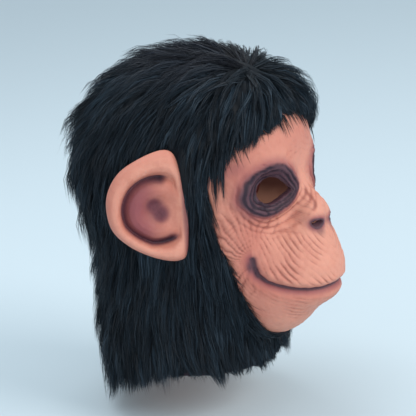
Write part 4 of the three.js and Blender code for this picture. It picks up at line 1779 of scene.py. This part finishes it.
    def build_undercoat(self, material: bpy.types.Material) -> bpy.types.Object:
        """Builds the dense dark layer under the strands.

        Args:
            material: its finish.

        Returns:
            The undercoat.
        """
        around = np.linspace(-180, 180, 240, endpoint=False)
        turns = np.r_[np.linspace(0.005, 1, 50), np.linspace(1.02, 3.068, 92)]
        base = self.form.grid(around, turns, 0.0, False)
        inset = ease(-self.plan.bareness(base), 3.0, 24)
        across, down = np.meshgrid(around, turns * 30)
        streak = self.noise(np.stack([across, down, np.zeros_like(down)], axis=-1), (2.4, 5.0, 1.0))
        inside, _, out = self.plan.ear_place(base)
        thin = 1 - 0.8 * ease(inside, -4, 6) * ease(out, -30, -5)
        lift = -0.8 + 1.6 * ease(-self.plan.bareness(base), 3.0, 9.0)
        share = 0.42 - 0.12 * hill(self.plan.from_whorl(base), 44) + 0.1 * streak
        lift = lift + self.plan.pile(base) * share * inset * thin
        points = base + self.form.normal(base) * lift[..., None]
        sheet = Sheet(points)
        middles = sheet.middles()
        ragged = self.plan.undercoat_foot + 6 * self.noise(middles, (6, 6, 40))
        sheet.keep((self.plan.bareness(middles) < -2.5) & (-middles[:, 2] < ragged))
        size = len(sheet.points)
        paint = {"tone": np.full(size, 0.2), "brown_and_rim_light": np.zeros(size), "reach": np.full(size, 0.3)}
        return sheet.surface(paint).build("undercoat", material, "fur")

    def strays(self) -> tuple[Array, Array, Array]:
        """Loose hairs that stray over the edges of the face.

        Returns:
            Their roots, their points and the normals there.
        """
        roots = self.roots(self.stray, lambda places: hill(self.plan.bareness(places) + 2, 3.5))
        patch = self.noise(roots, 15.0)
        aim = self.random.uniform(0.0, 0.7, (self.stray, 1)) + 1.0 * np.maximum(patch, 0)[:, None]
        stride = self.random.uniform(2.0, 6.5, (self.stray, 1)) * (1 + 0.8 * patch[:, None])
        bend = self.random.normal(0, 0.25, (self.stray, 3))
        point, normal = roots, self.form.normal(roots)
        line, facing = [], []
        for step in range(self.steps + 1):
            height = 1.2 + 1.4 * step / self.steps
            point = point + normal * (height - self.form.distance(point, False))[:, None]
            normal = self.form.normal(point)
            line.append(point)
            facing.append(normal)
            middle = unit(np.array([0, -120.0, -185.0]) - point)
            way = self.plan.flow(point, normal) + middle * aim + bend * step / self.steps
            point = point + unit(way - dot(way, normal)[:, None] * normal) * stride
        return roots, np.stack(line, axis=1), np.stack(facing, axis=1)

    def build_strands(self, material: bpy.types.Material) -> list[bpy.types.Object]:
        """Grows the coat and builds one piece for each stretch, or two for a large one.

        Args:
            material: its finish.

        Returns:
            The pieces.
        """
        lock_roots = self.roots(self.locks)
        behind = ease(lock_roots[:, 1], 20, 70) * ease(-lock_roots[:, 2], 0, 30)
        rise = self.random.uniform(0.72, 1.0 + 0.4 * behind, self.locks)
        spare = self.random.gamma(2.0, 2.0, self.locks)
        locks = self.follow(lock_roots, self.length(lock_roots), rise, spare)
        tuft_roots = self.roots(self.tufts)
        owner = self.nearest(tuft_roots, lock_roots)
        rise = np.clip(rise[owner] * self.random.uniform(0.5, 1.08, self.tufts), 0, 1.3)
        spare = spare[owner] * 0.6 + self.random.gamma(1.6, 1.6, self.tufts)
        tufts = self.follow(tuft_roots, self.length(tuft_roots), rise, spare)
        self.gather(tufts, locks, owner)
        roots = self.roots(self.strands, self.thicker)
        tuft_of = self.nearest(roots, tuft_roots)
        points, normals = self.grow(roots, tufts, tuft_of)
        tone = 0.35 * self.random.random(self.locks)[owner][tuft_of]
        tone = tone + 0.35 * self.random.random(self.tufts)[tuft_of]
        tone = tone + 0.45 * self.random.random(self.strands)
        # Strands that end on the top of the head get a painted rim light, fading out towards the front.
        brown_and_rim_light = 0.6 * ease(points[:, -1, 2], -35, 15) * ease(points[:, -1, 1], -90, -10)
        stray_roots, stray_points, stray_normals = self.strays()
        roots = np.concatenate([roots, stray_roots])
        points, normals = np.concatenate([points, stray_points]), np.concatenate([normals, stray_normals])
        tone = np.r_[tone, np.full(self.stray, 0.3)]
        brown_and_rim_light = np.r_[brown_and_rim_light, np.full(self.stray, 0.3)]
        region = self.plan.region(roots)
        made = []
        for number, stretch in enumerate(Region):
            chosen = np.flatnonzero(region == number)
            parts = max(1, math.ceil(len(chosen) / self.per_piece))
            for part in range(parts):
                some = chosen[part::parts]
                surface = self.ribbons(points[some], normals[some], tone[some], brown_and_rim_light[some])
                name = f"strands_{stretch.value}" + (f"_{part + 1}" if parts > 1 else "")
                piece = surface.build(name, material, "fur")
                if part == 0:
                    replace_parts(piece, stretch.value)
                made.append(piece)
        return made

    def thicker(self, places: Array) -> Array:
        """How densely strands grow: most at the whorl, where none lie over from elsewhere."""
        near_whorl = hill(self.plan.from_whorl(places), 40)
        return 1 + 2.8 * near_whorl + 0.5 * hill(self.plan.bareness(places), 9)

    def length(self, roots: Array) -> Array:
        """How long strands are where they root.

        Args:
            roots: where they start.

        Returns:
            The lengths.
        """
        region = self.plan.region(roots)
        base = np.array(self.LENGTHS)[region]
        low = ease(-roots[:, 2], 230, 300) * ease(roots[:, 1], 0, 80)
        return (base + 14 * low) * self.random.uniform(0.8, 1.12, len(roots))


# Studio


@dataclass
class Lamp:
    """A soft square light aimed at the mask."""

    name: str
    place: tuple[float, float, float]
    size: float
    power: float
    colour: Colour = (1.0, 1.0, 1.0)

    AIM = (0, -0.02, -0.15)

    def build(self) -> None:
        """Places the light."""
        data = bpy.data.lights.new(self.name, "AREA")
        data.shape = "SQUARE"
        data.size = self.size
        data.energy = self.power
        data.color = self.colour
        lamp = bpy.data.objects.new(self.name, data)
        bpy.context.scene.collection.objects.link(lamp)
        lamp.location = self.place
        aim = Vector(self.AIM) - Vector(self.place)
        lamp.rotation_mode = "QUATERNION"
        lamp.rotation_quaternion = aim.to_track_quat("-Z", "Y")


@dataclass
class Studio:
    """The floor, the lights, the pale surroundings and the camera."""

    floor_drop: float = 0.362
    azimuth: float = -59.0
    elevation: float = 17.0
    roll: float = 4.0
    far: float = 1.5
    lens: float = 125.9
    floor_half: float = 6.0
    pale: Colour = (0.80, 0.90, 0.97)
    pale_strength: float = 0.75

    AIM = (0, 0, -0.15)

    def build_floor(self) -> None:
        """Lays the floor under the lowest tips."""
        half = self.floor_half
        corners = [(-half, -half, 0), (half, -half, 0), (half, half, 0), (-half, half, 0)]
        mesh = bpy.data.meshes.new("floor")
        mesh.from_pydata(corners, [], [(0, 1, 2, 3)])
        mesh.materials.append(FloorFinish().material())
        floor = bpy.data.objects.new("floor", mesh)
        floor.location = (0, 0, -self.floor_drop)
        bpy.context.scene.collection.objects.link(floor)

    def build_lights(self) -> None:
        """Sets the lights and the pale surroundings."""
        Lamp("key", (0.0, -3.3, 2.1), 2.1, 94.0, (1.0, 0.98, 0.95)).build()
        Lamp("fill", (-3.6, -1.6, 0.5), 1.6, 42.0, (1.0, 0.97, 0.93)).build()
        Lamp("top", (0.1, 0.5, 1.5), 1.0, 12.0, (0.95, 0.98, 1.0)).build()
        bpy.context.scene.view_settings.view_transform = "Standard"
        world = bpy.data.worlds.new("pale")
        world.use_nodes = True
        surroundings = world.node_tree.nodes["Background"]
        surroundings.inputs["Color"].default_value = (*self.pale, 1.0)
        surroundings.inputs["Strength"].default_value = self.pale_strength
        bpy.context.scene.world = world

    def build_camera(self) -> None:
        """Places the camera at the photo's angle."""
        a, e, r = (math.radians(value) for value in (self.azimuth, self.elevation, self.roll))
        back = Vector((math.sin(a) * math.cos(e), -math.cos(a) * math.cos(e), math.sin(e)))
        right = Vector((math.cos(a), math.sin(a), 0))
        up = back.cross(right)
        level = right * math.cos(r) - up * math.sin(r)
        upright = up * math.cos(r) + right * math.sin(r)
        data = bpy.data.cameras.new("camera")
        data.sensor_width = 36.0
        data.lens = self.lens
        camera = bpy.data.objects.new("camera", data)
        bpy.context.scene.collection.objects.link(camera)
        turned = Matrix((level, upright, back)).transposed().to_4x4()
        turned.translation = Vector(self.AIM) + back * self.far
        camera.matrix_world = turned
        bpy.context.scene.camera = camera


def main() -> None:
    """Builds the mask piece by piece, then the studio."""
    logging.basicConfig(level=logging.INFO, format="%(name)s: %(message)s")
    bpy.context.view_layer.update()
    form = HeadForm()
    head = LatexHead(form)
    skin = head.build_skin()
    head.build_lining()
    ear = Ear()
    for side in Side:
        ear.build(side, skin.data.materials[0])
    coat = Coat(CoatPlan(form, ear))
    fur = FurFinish().material()
    coat.build_undercoat(fur)
    coat.build_strands(fur)
    studio = Studio()
    studio.build_floor()
    studio.build_lights()
    studio.build_camera()


if __name__ == "__main__":
    main()
